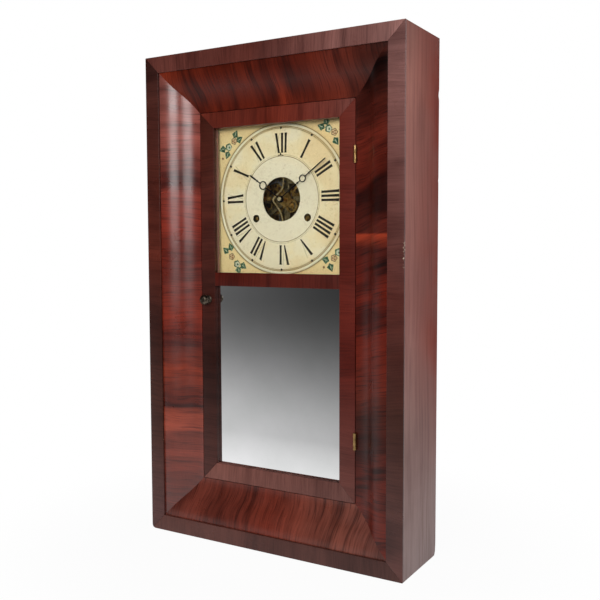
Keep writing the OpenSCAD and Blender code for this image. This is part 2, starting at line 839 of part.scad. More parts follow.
// A turned knob whose shaft goes through the stile and carries the catch
module door_knob() {
    neck = knob_r * 0.42;
    head = knob_l * 0.66;
    color("#4a3a2c") {
        translate([knob_x, y_at(door_d), knob_z]) rotate([90, 0, 0]) rotate_extrude()
            polygon(concat(
                [[0, 0.05], [knob_r * 0.78, 0.05], [knob_r * 0.8, 1.2], [knob_r * 0.6, 1.8],
                    [neck, 2.8], [neck, knob_l - head]],
                [for (a = [-60 : 15 : 75])
                    [neck * 0.6 + (knob_r - neck * 0.6) * cos(a), knob_l - head / 2 + head / 2 * sin(a)]],
                [[0, knob_l]]
            ));
        bar([knob_x, knob_z - dial_z], door_d - 1, catch_d + catch_t + 1 - (door_d - 1), knob_shaft_r);
        slab(catch_d, catch_t) translate([knob_x - catch_w / 2, knob_z - catch_l])
            square([catch_w, catch_l + catch_w / 2]);
    }
}

// Both plates: an outer frame, crossing straps and a boss at each pivot
module plate_straps() {
    w = plate_w / 2;
    bevel = 5;
    difference() {
        polygon([
            [-w + bevel, -plate_down], [w - bevel, -plate_down], [w, -plate_down + bevel],
            [w, plate_up - bevel], [w - bevel, plate_up], [-w + bevel, plate_up],
            [-w, plate_up - bevel], [-w, -plate_down + bevel]
        ]);
        translate([-w + frame_w, -plate_down + frame_w])
            square([plate_w - 2 * frame_w, plate_up + plate_down - 2 * frame_w]);
    }
    strap([-w + 2, 0], [w - 2, 0], strap_w);
    strap([0, -plate_down + 2], [0, plate_up - 2], strap_w);
    strap([-w + 2, third[1]], [w - 2, third[1]], strap_w);
    strap([-w + 2, escape_up], [w - 2, escape_up], strap_w - 1);
    for (p = [time_main, strike_main]) {
        strap([0, 0], p, strap_w - 1);
        strap(p, [sign(p[0]) * (w - 2), p[1]], strap_w);
        disc(p, 8);
    }
    for (p = [centre, second, strike_second, third, strike_third, fly_at, escape]) disc(p, strap_w * 0.62);
}
module pivot_holes(r, places) {
    for (p = places) disc(p, r);
}
train_places = [second, third, escape, strike_second, strike_third, fly_at, hammer_at];
module plate_front() {
    color("#8a6a34") works(plate_d, plate_t) difference() {
        union() {
            plate_straps();
            disc(minute_at, strap_w * 0.62);
            disc(count_at, strap_w * 0.62);
        }
        pivot_holes(arbor_r * 0.65 + pivot_gap, [second, third, strike_third, fly_at, hammer_at]);
        pivot_holes(arbor_r + pivot_gap, [escape, strike_second]);
        pivot_holes(minute_arbor_r + pivot_gap, [centre]);
        pivot_holes(winding_arbor_r + pivot_gap, [time_main, strike_main]);
        pivot_holes(pillar_r * 0.5 + pivot_gap, pillar_places);
    }
}
module plate_back() {
    color("#8a6a34") works(plate_back_d, plate_t) difference() {
        plate_straps();
        pivot_holes(arbor_r * 0.65 + pivot_gap, concat(train_places, [centre]));
        pivot_holes(winding_pivot_r + pivot_gap, [time_main, strike_main]);
        pivot_holes(pillar_r * 0.5 + pivot_gap, pillar_places);
    }
}
module pillars() {
    color("#7d7a74") for (p = pillar_places) {
        bar(p, inside, bay, pillar_r);
        bar(p, plate_d - 1.2, plate_back_d + plate_t - plate_d + 1.2, pillar_r * 0.5);
    }
}

stud_r = 1;
// The studs in the front plate, with the post that the pendulum hangs from
module front_studs() {
    color("#9a7b40") {
        bar(minute_at, hour_d - 0.4, plate_d - hour_d + 0.4, stud_r, flats);
        bar(count_at, count_d - 1.6, plate_d - count_d + 1.6, stud_r, flats);
        bar(lever_at, count_d - 1.8, plate_d - count_d + 1.8, stud_r, flats);
        bar(verge_at, crutch_d - 0.1, plate_d - crutch_d + 0.1, stud_r * 0.8, flats);
        bar([0, plate_up - 4], rod_d - 1.8, plate_d - rod_d + 1.8, 2.5);
        works(rod_d - 1.8, 3) translate([-2, pivot_up + 0.1]) square([4, plate_up - 4 - pivot_up]);
    }
}

winding_arbor_r = 2.6;
winding_pivot_r = 1.6;
square_w = 3.6;
ratchet_n = 24;
ratchet_r = 12;
ratchet_t = 1.2;
// The winding arbor of the time side with its square, drum and ratchet
module drum() {
    p = time_main;
    bar(p, plate_d - 1, plate_back_d - 0.3 - plate_d + 1, winding_arbor_r, flats);
    works(dial_d + 1.6, plate_d - dial_d - 2) translate(p) rotate(9) square(square_w, center = true);
    bar(p, plate_back_d - 1, plate_t + 1.3, winding_pivot_r, flats);
    bar(p, drum_d, drum_l, drum_r);
    bar(p, drum_d - 1, 1, drum_r + 3.3);
    works(main_d - 1.5, ratchet_t) translate(p) polygon([
        for (i = [0 : ratchet_n - 1]) each [
            polar([0, 0], ratchet_r - 1.2, i * 360 / ratchet_n),
            polar([0, 0], ratchet_r, i * 360 / ratchet_n + 2)
        ]
    ]);
}
module time_drum() {
    color("#9b8357") drum();
}
module strike_drum() {
    color("#9b8357") mirror([1, 0, 0]) drum();
}

// The main wheel of the time side with its click, which is held clear of the ratchet
module main_wheel() {
    wheel(time_main, main_n, main_m, aim(time_main, second), main_d, main_t, winding_arbor_r + pivot_gap, 5);
    works(main_d - 1.3, 1.3) translate(time_main) rotate(30) {
        translate([17.4, -6]) circle(r = 2.2, $fn = flats);
        polygon([[16.4, -6], [18.8, -6], [14.4, 2.6], [12.5, 1.6]]);
    }
}
module time_main_wheel() {
    color("#a9863f") main_wheel();
}
module strike_main_wheel() {
    color("#a9863f") mirror([1, 0, 0]) main_wheel();
}

// Second arbor of the time side: its lantern, the carrying wheel and the second wheel
module second_arbor() {
    color("#a9863f") {
        arbor(second);
        lantern(second, pins_8, main_m, aim(second, time_main), main_d, main_t);
        wheel(second, second_n, second_m, aim(second, third), second_d, second_t, arbor_r * 0.9);
        wheel(second, carry_n, carry_m, aim(second, centre), carry_d, carry_t, arbor_r * 0.9);
    }
}
module third_arbor() {
    color("#a9863f") {
        arbor(third);
        lantern(third, pins_7, second_m, aim(third, second), second_d, second_t);
        wheel(third, third_n, third_m, aim(third, escape), third_d, third_t, arbor_r * 0.9);
    }
}
module escape_wheel() {
    color("#a9863f") {
        arbor(escape);
        bar(escape, escape_d - 0.2, inside + 1 - escape_d + 0.2, arbor_r, flats);
        lantern(escape, pins_7, third_m, aim(escape, third), third_d, third_t);
        works(escape_d, escape_t) translate(escape) difference() {
            polygon([
                for (i = [0 : escape_teeth - 1]) each [
                    polar([0, 0], escape_r - 2, i * 360 / escape_teeth),
                    polar([0, 0], escape_r, i * 360 / escape_teeth + 1.2),
                    polar([0, 0], escape_r, i * 360 / escape_teeth + 2.2),
                    polar([0, 0], escape_r - 2, i * 360 / escape_teeth + 4.4)
                ]
            ]);
            arm_openings(3.2, escape_r - 4, 4, 1.8, 0);
            circle(r = arbor_r * 0.9, $fn = flats);
        }
    }
}

minute_arbor_r = 1.2;
// The carrying wheel turns the hand arbor through a friction washer.
module centre_wheel() {
    color("#a9863f") {
        wheel(centre, carry_n, carry_m, aim(centre, second) + 180 / carry_n, carry_d, carry_t,
            minute_arbor_r + pivot_gap);
    }
}
module minute_arbor() {
    color("#b39a5e") {
        bar(centre, minute_hand_d - 1.6, inside + bay - 0.3 - (minute_hand_d - 1.6), minute_arbor_r, flats);
        bar(centre, plate_back_d - 1, plate_t + 1.3, arbor_r * 0.65, flats);
        works(motion_d, motion_t) toothed(cannon_n, motion_m, aim(centre, minute_at) + 180 / cannon_n);
        bar(centre, minute_hand_d - 1.4, 1.3, 2.4, flats);
    }
}
module minute_wheel() {
    color("#a9863f") {
        works(motion_d, motion_t) translate(minute_at) difference() {
            toothed(minute_n, motion_m, aim(minute_at, centre));
            arm_openings(3.6, 6.4, 3, 1.6, 0);
            circle(r = stud_r + pivot_gap, $fn = flats);
        }
        works(hour_d, motion_d - hour_d + 0.01) translate(minute_at) difference() {
            toothed(hour_pinion_n, hour_m, aim(minute_at, centre) + 180 / hour_pinion_n);
            circle(r = stud_r + pivot_gap, $fn = flats);
        }
    }
}
pipe_r = 3;
module hour_wheel() {
    color("#a9863f") {
        works(hour_d, motion_t) difference() {
            toothed(hour_n, hour_m, aim(centre, minute_at));
            circle(r = minute_arbor_r + pivot_gap, $fn = flats);
        }
        works(hour_hand_d - 0.4, hour_d - hour_hand_d + 0.41) difference() {
            circle(r = pipe_r, $fn = flats);
            circle(r = minute_arbor_r + pivot_gap, $fn = flats);
        }
    }
}

// Outline of a hand that points along +X: hub, thin stem, ring, cross-bars and blade
module hand_outline(l, hub, hole, ring_at, ring_r, bars, blade) {
    difference() {
        union() {
            circle(r = hub, $fn = flats);
            translate([0, -hand_wire / 2]) square([ring_at - ring_r + 0.4, hand_wire]);
            translate([ring_at, 0]) circle(r = ring_r, $fn = 24);
            for (x = bars) polygon([[x - hand_wire, 0], [x, -1.9], [x + hand_wire, 0], [x, 1.9]]);
            polygon([
                [ring_at + ring_r - 0.4, -hand_wire / 2], [bars[len(bars) - 1] + 2, -hand_wire / 2],
                [bars[len(bars) - 1] + 4, -blade / 2], [l - 1.5, -blade / 2], [l, 0], [l - 1.5, blade / 2],
                [bars[len(bars) - 1] + 4, blade / 2], [bars[len(bars) - 1] + 2, hand_wire / 2],
                [ring_at + ring_r - 0.4, hand_wire / 2]
            ]);
        }
        circle(r = hole, $fn = flats);
        translate([ring_at, 0]) circle(r = ring_r - hand_wire, $fn = 24);
    }
}
module minute_hand() {
    color("#26241f") works(minute_hand_d, hand_t) rotate(minute_angle)
        hand_outline(minute_l, 3.6, minute_arbor_r, minute_ring_at, minute_ring_r,
            [minute_ring_at - 9.6, minute_ring_at + 11.8], 1.5);
}
module hour_hand() {
    color("#26241f") works(hour_hand_d, hand_t) rotate(hour_angle)
        hand_outline(hour_l, 4.8, pipe_r, hour_ring_at, hour_ring_r, [hour_ring_at + 11.2], 2.2);
}

// Second arbor of the strike side: the pin wheel, and the small lantern that turns the count wheel
module pin_wheel() {
    to_third = aim(strike_second, strike_third);
    color("#a9863f") {
        arbor(strike_second);
        bar(strike_second, count_d - 1.3, inside + 1 - count_d + 1.3, arbor_r, flats);
        lantern(strike_second, pins_8, main_m, aim(strike_second, strike_main), main_d, main_t);
        lantern(strike_second, pins_8, count_m, aim(strike_second, count_at), count_d, count_t, 0.6, 0.7);
        wheel(strike_second, lift_n, lift_m, to_third, second_d, second_t, arbor_r * 0.9);
        for (k = [0 : lift_pins - 1])
            bar(polar(strike_second, lift_reach, to_third + 20 + (k + 0.5) * 360 / lift_pins),
                second_d, second_t + 2.3, lift_pin_r, 8);
        works(second_d, second_t) translate(strike_second) difference() {
            circle(r = lift_reach + 1.6, $fn = flats);
            circle(r = lift_reach - 1.6, $fn = flats);
        }
    }
}
module strike_third_arbor() {
    color("#a9863f") {
        arbor(strike_third);
        lantern(strike_third, pins_7, lift_m, aim(strike_third, strike_second), second_d, second_t);
        wheel(strike_third, fly_n, fly_m, aim(strike_third, fly_at), third_d, third_t, arbor_r * 0.9);
    }
}
module fly() {
    color("#b59a55") {
        arbor(fly_at);
        lantern(fly_at, pins_7, fly_m, aim(fly_at, strike_third), third_d, third_t);
        translate([fly_at[0], y_at(third_d + 5), dial_z + fly_at[1]]) rotate([0, 25, 0])
            translate([-fly_r, 0, -0.25]) cube([2 * fly_r, 12, 0.5]);
        bar(fly_at, third_d + 5, 12, 2, flats);
    }
}

// The count wheel: a toothed wheel behind a disc with a notch after each hour's strokes
module count_wheel() {
    notch_r = count_n * count_m / 2 - 2;
    color("#a9863f") {
        works(count_d, count_t) translate(count_at) difference() {
            toothed(count_n, count_m, aim(count_at, strike_second));
            circle(r = stud_r + pivot_gap, $fn = flats);
        }
        works(count_d - 0.8, 0.81) translate(count_at) difference() {
            circle(r = notch_r, $fn = flats * 3);
            for (h = [1 : 12]) rotate(h * (h + 1) / 2 * 360 / count_n)
                translate([notch_r - 2, -0.8]) square([4, 1.6]);
            circle(r = stud_r + pivot_gap, $fn = flats);
        }
    }
}
// The count lever is held just above the notched disc.
module count_lever() {
    notch_r = count_n * count_m / 2 - 2;
    tip = polar(count_at, notch_r + near + 0.1, aim(count_at, lever_at));
    side = aim(lever_at, tip) + 90;
    color("#8d8a84") works(count_d - 1.6, 0.9) difference() {
        union() {
            disc(lever_at, 2.6);
            polygon([
                polar(lever_at, 1.6, side), polar(lever_at, 1.6, side + 180),
                polar(tip, 0.6, side + 180), polar(tip, 0.6, side)
            ]);
            polygon([polar(lever_at, 1.6, 45), polar(lever_at, 1.6, 225), lever_at + [9, -9.8],
                lever_at + [10.4, -8.4]]);
        }
        disc(lever_at, stud_r + pivot_gap);
    }
}
// The hammer: its arbor, the tail beside the lifting pins, the wire and the head
module hammer() {
    tail_end = polar(strike_second, lift_reach + lift_pin_r + near + 0.2, -60);
    wire_d = plate_back_d - 1.8;
    color("#8d8a84") {
        arbor(hammer_at);
        bar(hammer_at, second_d + second_t + 0.6, 1.2, 2.6, flats);
        works(second_d + second_t + 0.7, 1) polygon([
            hammer_at + [-1.4, 0], hammer_at + [1.4, 0], tail_end + [1.8, 0], tail_end
        ]);
        bar(hammer_at, wire_d - 1.2, 2.1, 2.2, flats);
        wire([hammer_at + [0, dial_z], (hammer_at + head_at) / 2 + [3, dial_z + 2], head_at + [0, dial_z]],
            0.9, wire_d);
        bar(head_at, wire_d - 1.5, gong_d - wire_d + 3.5, head_r);
    }
}

// The verge: two pallets, a hub on its stud and the crutch that moves the rod
module verge() {
    lean = acos(escape_r / (pivot_up - escape_up));
    tip = polar([0, 0], escape_r + pallet_gap, 90 - lean);
    rod_side = rod_r + near;
    fork_up = pivot_up - 39;
    fork_h = 2.4;
    color("#6f6c68") {
        works(crutch_d, plate_d - crutch_d - 0.4) translate(verge_at) difference() {
            circle(r = 2.6, $fn = flats);
            circle(r = stud_r * 0.8 + pivot_gap, $fn = flats);
        }
        works(escape_d, 1.1) for (s = [-1, 1]) polygon([
            [s * 1.4, pivot_up + 2], [s * 1.4, pivot_up - 1.8],
            [s * (tip[0] + 1.4), escape_up + tip[1] + 2.6],
            [s * tip[0], escape_up + tip[1]],
            [s * (tip[0] + 1.4), escape_up + tip[1] - 0.4],
            [s * (tip[0] + 3), escape_up + tip[1] + 4]
        ]);
        works(crutch_d, crutch_t) translate([-0.9, fork_up]) square([1.8, pivot_up - fork_up - 2]);
        works(crutch_d, crutch_t) translate([-rod_side - 0.8, fork_up]) square([2 * rod_side + 1.6, fork_h]);
        for (s = [0, 1]) mirror([s, 0, 0])
            works(rod_d - rod_r - 0.5, crutch_d - rod_d + rod_r + 0.6) translate([rod_side, fork_up])
                square([0.8, fork_h]);
    }
}

// The rod's distance to the left at a height from the dial's middle: it bows round the hand arbor
bow_width = 12;
bow_up = 21;
bow_down = 60;
function bow(z) =
    let (reach = z > 0 ? bow_up : bow_down, k = max(0, 1 - z * z / reach / reach))
    -rod_bow * k * k / (1 + z * z / bow_width / bow_width);
bob_z = pivot_up - pendulum_l;
rod_low = bob_z - bob_r - 6;
spring_l = 6;
rod_points = concat(
    [[0, dial_z + rod_low]],
    [for (z = [-bow_down : 4 : 24]) [bow(z), dial_z + z]],
    [[0, dial_z + pivot_up - spring_l - 0.1]]
);
module pendulum_rod() {
    color("#b7a36c") {
        wire(rod_points, rod_r, rod_d);
        works(rod_d - 1.2, 2.4) translate([-0.2, pivot_up - spring_l]) square([0.4, spring_l]);
    }
}
module pendulum_bob() {
    face_r = (bob_r * bob_r + bob_t * bob_t / 4) / bob_t;
    color("#b08d45") {
        translate([0, y_at(rod_d), dial_z + bob_z]) difference() {
            intersection() {
                for (s = [-1, 1]) translate([0, s * (face_r - bob_t / 2), 0]) sphere(r = face_r);
                rotate([90, 0, 0]) cylinder(h = 2 * bob_t, r = bob_r - 0.5, center = true);
            }
            translate([0, 0, -bob_r]) cylinder(h = 2 * bob_r, r = rod_r + near);
        }
        translate([0, y_at(rod_d), dial_z + bob_z - bob_r - 3]) difference() {
            cylinder(h = 3, r = 3.4, $fn = 6);
            translate([0, 0, -1]) cylinder(h = 5, r = rod_r + shaft_gap);
        }
    }
}

module pulley(x) {
    h = pulley_t / 2;
    color("#8a7a5c") translate([x, y_at(cord_d), pulley_z]) rotate([90, 0, 0]) rotate_extrude()
        polygon([[axle_r + shaft_gap, -h], [pulley_r, -h], [pulley_r, -h + 0.8], [groove_r, -cord_r * 0.8],
            [groove_r, cord_r * 0.8], [pulley_r, h - 0.8], [pulley_r, h], [axle_r + shaft_gap, h]]);
}
module pulley_left() {
    pulley(-pulley_x);
}
module pulley_right() {
    pulley(pulley_x);
}

// A cast weight with a wire eye
module weight(x) {
    edge = 4;
    color("#3b3a39") translate([x, y_at(cord_d), weight_z]) {
        rotate_extrude() polygon([
            [0, 0], [weight_r - edge, 0], [weight_r, edge],
            [weight_r, weight_h - edge], [weight_r - edge, weight_h], [0, weight_h]
        ]);
        translate([0, 0, weight_h + eye_up]) rotate([90, 0, 0]) rotate_extrude()
            translate([eye_r, 0]) circle(r = eye_wire, $fn = 24);
    }
}
module time_weight() {
    weight(weight_x);
}
module strike_weight() {
    weight(-weight_x);
}

side_board_left();
side_board_right();
top_board();
bottom_board();
back_board();
front_bands();
ogee_left();
ogee_right();
ogee_top();
ogee_bottom();
partitions();
movement_blocks();
dial();
pulley_fittings();
gong();
cord_runs();
door_stile_left();
door_stile_right();
door_rail_top();
door_rail_middle();
door_rail_bottom();
upper_glass();
mirror_glass();
glazing_strips();
hinge_leaves_door();
hinge_leaves_case();
door_knob();
plate_front();
plate_back();
pillars();
front_studs();
time_drum();
time_main_wheel();
second_arbor();
third_arbor();
escape_wheel();
centre_wheel();
minute_arbor();
minute_wheel();
hour_wheel();
minute_hand();
hour_hand();
strike_drum();
strike_main_wheel();
pin_wheel();
strike_third_arbor();
fly();
count_wheel();
count_lever();
hammer();
verge();
pendulum_rod();
pendulum_bob();
pulley_left();
pulley_right();
time_weight();
strike_weight();
time_cord_drop();
strike_cord_drop();
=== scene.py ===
import math

import bmesh
import bpy
from bpy.props import FloatProperty, FloatVectorProperty, IntProperty, PointerProperty
from mathutils import Matrix, Vector


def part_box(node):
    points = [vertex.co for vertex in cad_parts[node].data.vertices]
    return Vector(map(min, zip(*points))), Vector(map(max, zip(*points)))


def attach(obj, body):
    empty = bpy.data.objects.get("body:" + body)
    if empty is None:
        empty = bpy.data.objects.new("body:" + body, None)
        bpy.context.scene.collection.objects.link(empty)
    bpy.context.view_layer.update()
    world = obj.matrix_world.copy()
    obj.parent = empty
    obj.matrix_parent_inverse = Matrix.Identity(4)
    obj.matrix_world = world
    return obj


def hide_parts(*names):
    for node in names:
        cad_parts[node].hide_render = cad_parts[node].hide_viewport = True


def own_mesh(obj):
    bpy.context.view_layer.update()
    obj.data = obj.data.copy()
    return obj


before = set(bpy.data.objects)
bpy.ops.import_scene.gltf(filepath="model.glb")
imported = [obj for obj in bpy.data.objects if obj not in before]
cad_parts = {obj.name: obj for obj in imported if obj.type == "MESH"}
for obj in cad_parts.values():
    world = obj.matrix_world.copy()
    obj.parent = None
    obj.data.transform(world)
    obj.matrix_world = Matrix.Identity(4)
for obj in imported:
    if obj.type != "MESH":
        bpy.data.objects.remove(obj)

bl_info = {
    "name": "Ogee mantel clock",
    "version": (1, 0, 0),
    "blender": (4, 5, 0),
    "location": "View3D > Sidebar > Ogee clock",
    "description": "Veneers, dial painting, metals and stage for a weight-driven ogee mantel clock",
    "category": "Object",
}

# Millimetres in this file are measured as the front shows the clock: across from the middle,
# depth back from the front of the outer band, and height from the underside.
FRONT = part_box("front_bands")[0].y
MM = 0.001


def at(across, depth, height):
    """A point of the shared frame, in metres."""
    return Vector((across * MM, FRONT + depth * MM, height * MM))


def span(node):
    """Lowest and highest across, depth and height of a CAD node, in millimetres."""
    low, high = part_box(node)
    depths = (low.y - FRONT) / MM, (high.y - FRONT) / MM
    return (low.x / MM, high.x / MM), depths, (low.z / MM, high.z / MM)


def rgb(code):
    """Linear colour with alpha from an sRGB hex value."""
    channels = [int(code[i : i + 2], 16) / 255 for i in (1, 3, 5)]
    return (*(c / 12.92 if c <= 0.04045 else ((c + 0.055) / 1.055) ** 2.4 for c in channels), 1.0)


CASE_W = 2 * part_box("front_bands")[1].x / MM
CASE_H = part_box("front_bands")[1].z / MM
DIAL_D = span("dial")[1]
DIAL_Z = sum(span("dial")[2]) / 2
DOOR_D = span("door_rail_top")[1]


# Sizes and colours that a user may change


def length(name, text, size):
    return FloatProperty(
        name=name, description=text, default=size * MM, min=0, unit="LENGTH", subtype="DISTANCE")


def colour(name, text, code):
    return FloatVectorProperty(
        name=name, description=text, default=rgb(code), size=4, min=0, max=1, subtype="COLOR")


def power(name, text, watts):
    return FloatProperty(name=name, description=text, default=watts, min=0, unit="POWER")


class CaseLook(bpy.types.PropertyGroup):
    """Sizes and colours of the veneered case"""

    band_w: length("Band width", "Width of the flat outer band", 22)
    ogee_side: length("Side moulding", "Width of the ogee face on the sides", 52.7)
    ogee_rail: length("Top moulding", "Width of the ogee face at the top and bottom", 55.7)
    board_t: length("Board thickness", "Thickness of the side boards", 14)
    wear: length("Worn edge", "Radius that handling has worn on the edges", 0.7)
    steps: IntProperty(
        name="Ogee steps", description="Facets in each half of the ogee", default=28, min=8, max=64)
    shellac: FloatProperty(
        name="Shellac roughness", description="Roughness of the old shellac", default=0.3, min=0.05,
        max=1, subtype="FACTOR")
    pine: colour("Pine", "Bare pine inside the case", "#8e6a44")


class DoorLook(bpy.types.PropertyGroup):
    """Sizes and colours of the door"""

    stile_w: length("Stile width", "Width of the door stiles", 22.2)
    top_w: length("Top rail", "Width of the top rail", 21.2)
    bottom_w: length("Bottom rail", "Width of the bottom rail", 22.9)
    lip: length("Lip", "Thickness of the wood in front of the glass", 6.5)
    rebate: length("Rebate", "Width of the glass rebate", 5)


class DialLook(bpy.types.PropertyGroup):
    """Sizes and colours of the painted dial"""

    numeral_top: length("Numeral top", "Radius at the top of the hour numerals", 86.4)
    numeral_foot: length("Numeral foot", "Radius at the foot of the hour numerals", 60.5)
    stroke: length("Thick stroke", "Width of a thick brush stroke", 3.2)
    thin: length("Thin stroke", "Width of a thin brush stroke", 0.5)
    gap: length("Stroke spacing", "Distance between strokes of a numeral", 5.2)
    dots: length("Dot circle", "Radius of the circle of hour dots", 93)
    ring: length("Raised ring", "Radius of the raised ring round the hours", 97)
    chapter: length("Chapter circle", "Radius of the line inside the numerals", 56.3)
    cream: colour("Cream", "Aged oil paint round the hours", "#f2e1b6")
    inner: colour("Middle", "Paler paint inside the chapter circle", "#eee1c2")
    corner: colour("Corners", "Yellower paint outside the ring", "#f0d59a")
    peach: colour("Patches", "Yellowed patches", "#e6be80")
    ink: colour("Ink", "Black paint of the numerals", "#1f1810")
    leaf: colour("Leaves", "Green of the corner sprigs", "#2c4f36")
    rose: colour("Roses", "Peach of the corner roses", "#d3ab7c")


class MetalLook(bpy.types.PropertyGroup):
    """Colours of the metals"""

    brass: colour("Brass", "Tarnished wheel brass", "#cda45c")
    plate: colour("Plates", "Dull rolled plates", "#a89468")
    steel: colour("Steel", "Drawn steel wire", "#8c8984")
    blued: colour("Hands", "Blued steel", "#201f22")
    knob: colour("Knob", "Dark turned brass", "#6a6054")
    hinge: colour("Hinges", "Rubbed hinge brass", "#c3a06a")
    iron: colour("Iron", "Cast iron", "#3d3b39")
    tin: colour("Tin", "Tinplate", "#8e8d89")


class StageLook(bpy.types.PropertyGroup):
    """Camera and light"""

    lens: FloatProperty(
        name="Lens", description="Focal length", default=49.22, min=10, subtype="DISTANCE_CAMERA")
    key: power("Front softbox", "Power of the softbox before the clock", 14)
    side: power("Side softbox", "Power of the softbox on the right", 5)
    fill: FloatProperty(name="Fill", description="Strength of the room's light", default=0.22, min=0)


class ClockLook(bpy.types.PropertyGroup):
    """Everything a user may change on the clock"""

    case: PointerProperty(type=CaseLook)
    door: PointerProperty(type=DoorLook)
    dial: PointerProperty(type=DialLook)
    metal: PointerProperty(type=MetalLook)
    stage: PointerProperty(type=StageLook)


def mm(value):
    """A length property, in millimetres."""
    return value / MM


# Finishes

# The veneer of each strip: the spacing of its ripples in mm, how far they lean, how dark they are, how
# dark the broad patches are, how much shine handling and dust have left on the shellac, and its tones.
# A tone's place is its height from the foot on an upright strip, else its place across, in mm.
# Two places close together are a joint between two sheets of veneer.
VENEERS = {
    "band_left": (9, 0, 0.4, 0.5, 0.25, [
        (0, "#64403d"), (130, "#47261e"), (320, "#4a241d"), (390, "#62291e"), (640, "#4a2721")]),
    "band_right": (12, 0, 0.25, 0.6, 0.25, [
        (0, "#643f3a"), (200, "#42221a"), (340, "#623029"), (660, "#8a605b")]),
    "band_top": (7, 0, 0.45, 0.4, 0.25, [(-194, "#6f3c34"), (-20, "#66332b"), (194, "#9a6b64")]),
    "band_bottom": (9, 0, 0.35, 0.4, 0.25, [(-194, "#6a3e36"), (194, "#56352f")]),
    "ogee_left": (9, 0.04, 0.8, 0.6, 0.74, [
        (78, "#662619"), (108, "#803424"), (142, "#7c3426"), (144, "#a84a34"), (172, "#9a402a"),
        (178, "#54190f"), (228, "#923216"), (268, "#541810"), (305, "#9a3018"), (350, "#6e2418"),
        (440, "#8a2a18"), (600, "#965248")]),
    "ogee_right": (11, -0.28, 1.0, 1.15, 0.25, [
        (78, "#6a2418"), (195, "#4c1b0f"), (310, "#7c2210"), (398, "#4a1710"), (416, "#9a3820"),
        (418, "#4c1a12"), (490, "#662014"), (600, "#3e1710")]),
    "ogee_top": (11, -0.22, 0.85, 0.8, 0.2, [
        (-172, "#7c2c18"), (-80, "#581a0c"), (20, "#722614"), (172, "#4e241c")]),
    "ogee_bottom": (10, 0.16, 0.85, 0.9, 0.3, [
        (-172, "#783a2e"), (0, "#742e20"), (100, "#84483a"), (172, "#623830")]),
    "door_stile_left": (10, 0, 0.4, 0.4, 0.2, [
        (78, "#5a342e"), (240, "#30130d"), (420, "#5a2a22"), (582, "#4c1f14")]),
    "door_stile_right": (14, 0, 0.25, 0.4, 0.2, [(78, "#6e413a"), (250, "#641e14"), (582, "#702e24")]),
    "door_rail_top": (6, 0, 0.5, 0.4, 0.2, [
        (-119, "#7a3224"), (-30, "#602216"), (20, "#7c2e1e"), (119, "#743e36")]),
    # The bottom rail's pale pink is partly its wood and partly painted sheen.
    "door_rail_bottom": (11, 0, 0.4, 0.4, 0.2, [(-119, "#8e5a50"), (119, "#6c4640")]),
    "door_rail_middle": (10, 0, 0.45, 0.4, 0.2, [(-100, "#5a1a10"), (100, "#5e241b")]),
}
# Lowest and highest place in mm where the band's outer edge on the right has lost flakes of veneer
CHIPS = (374, 414)


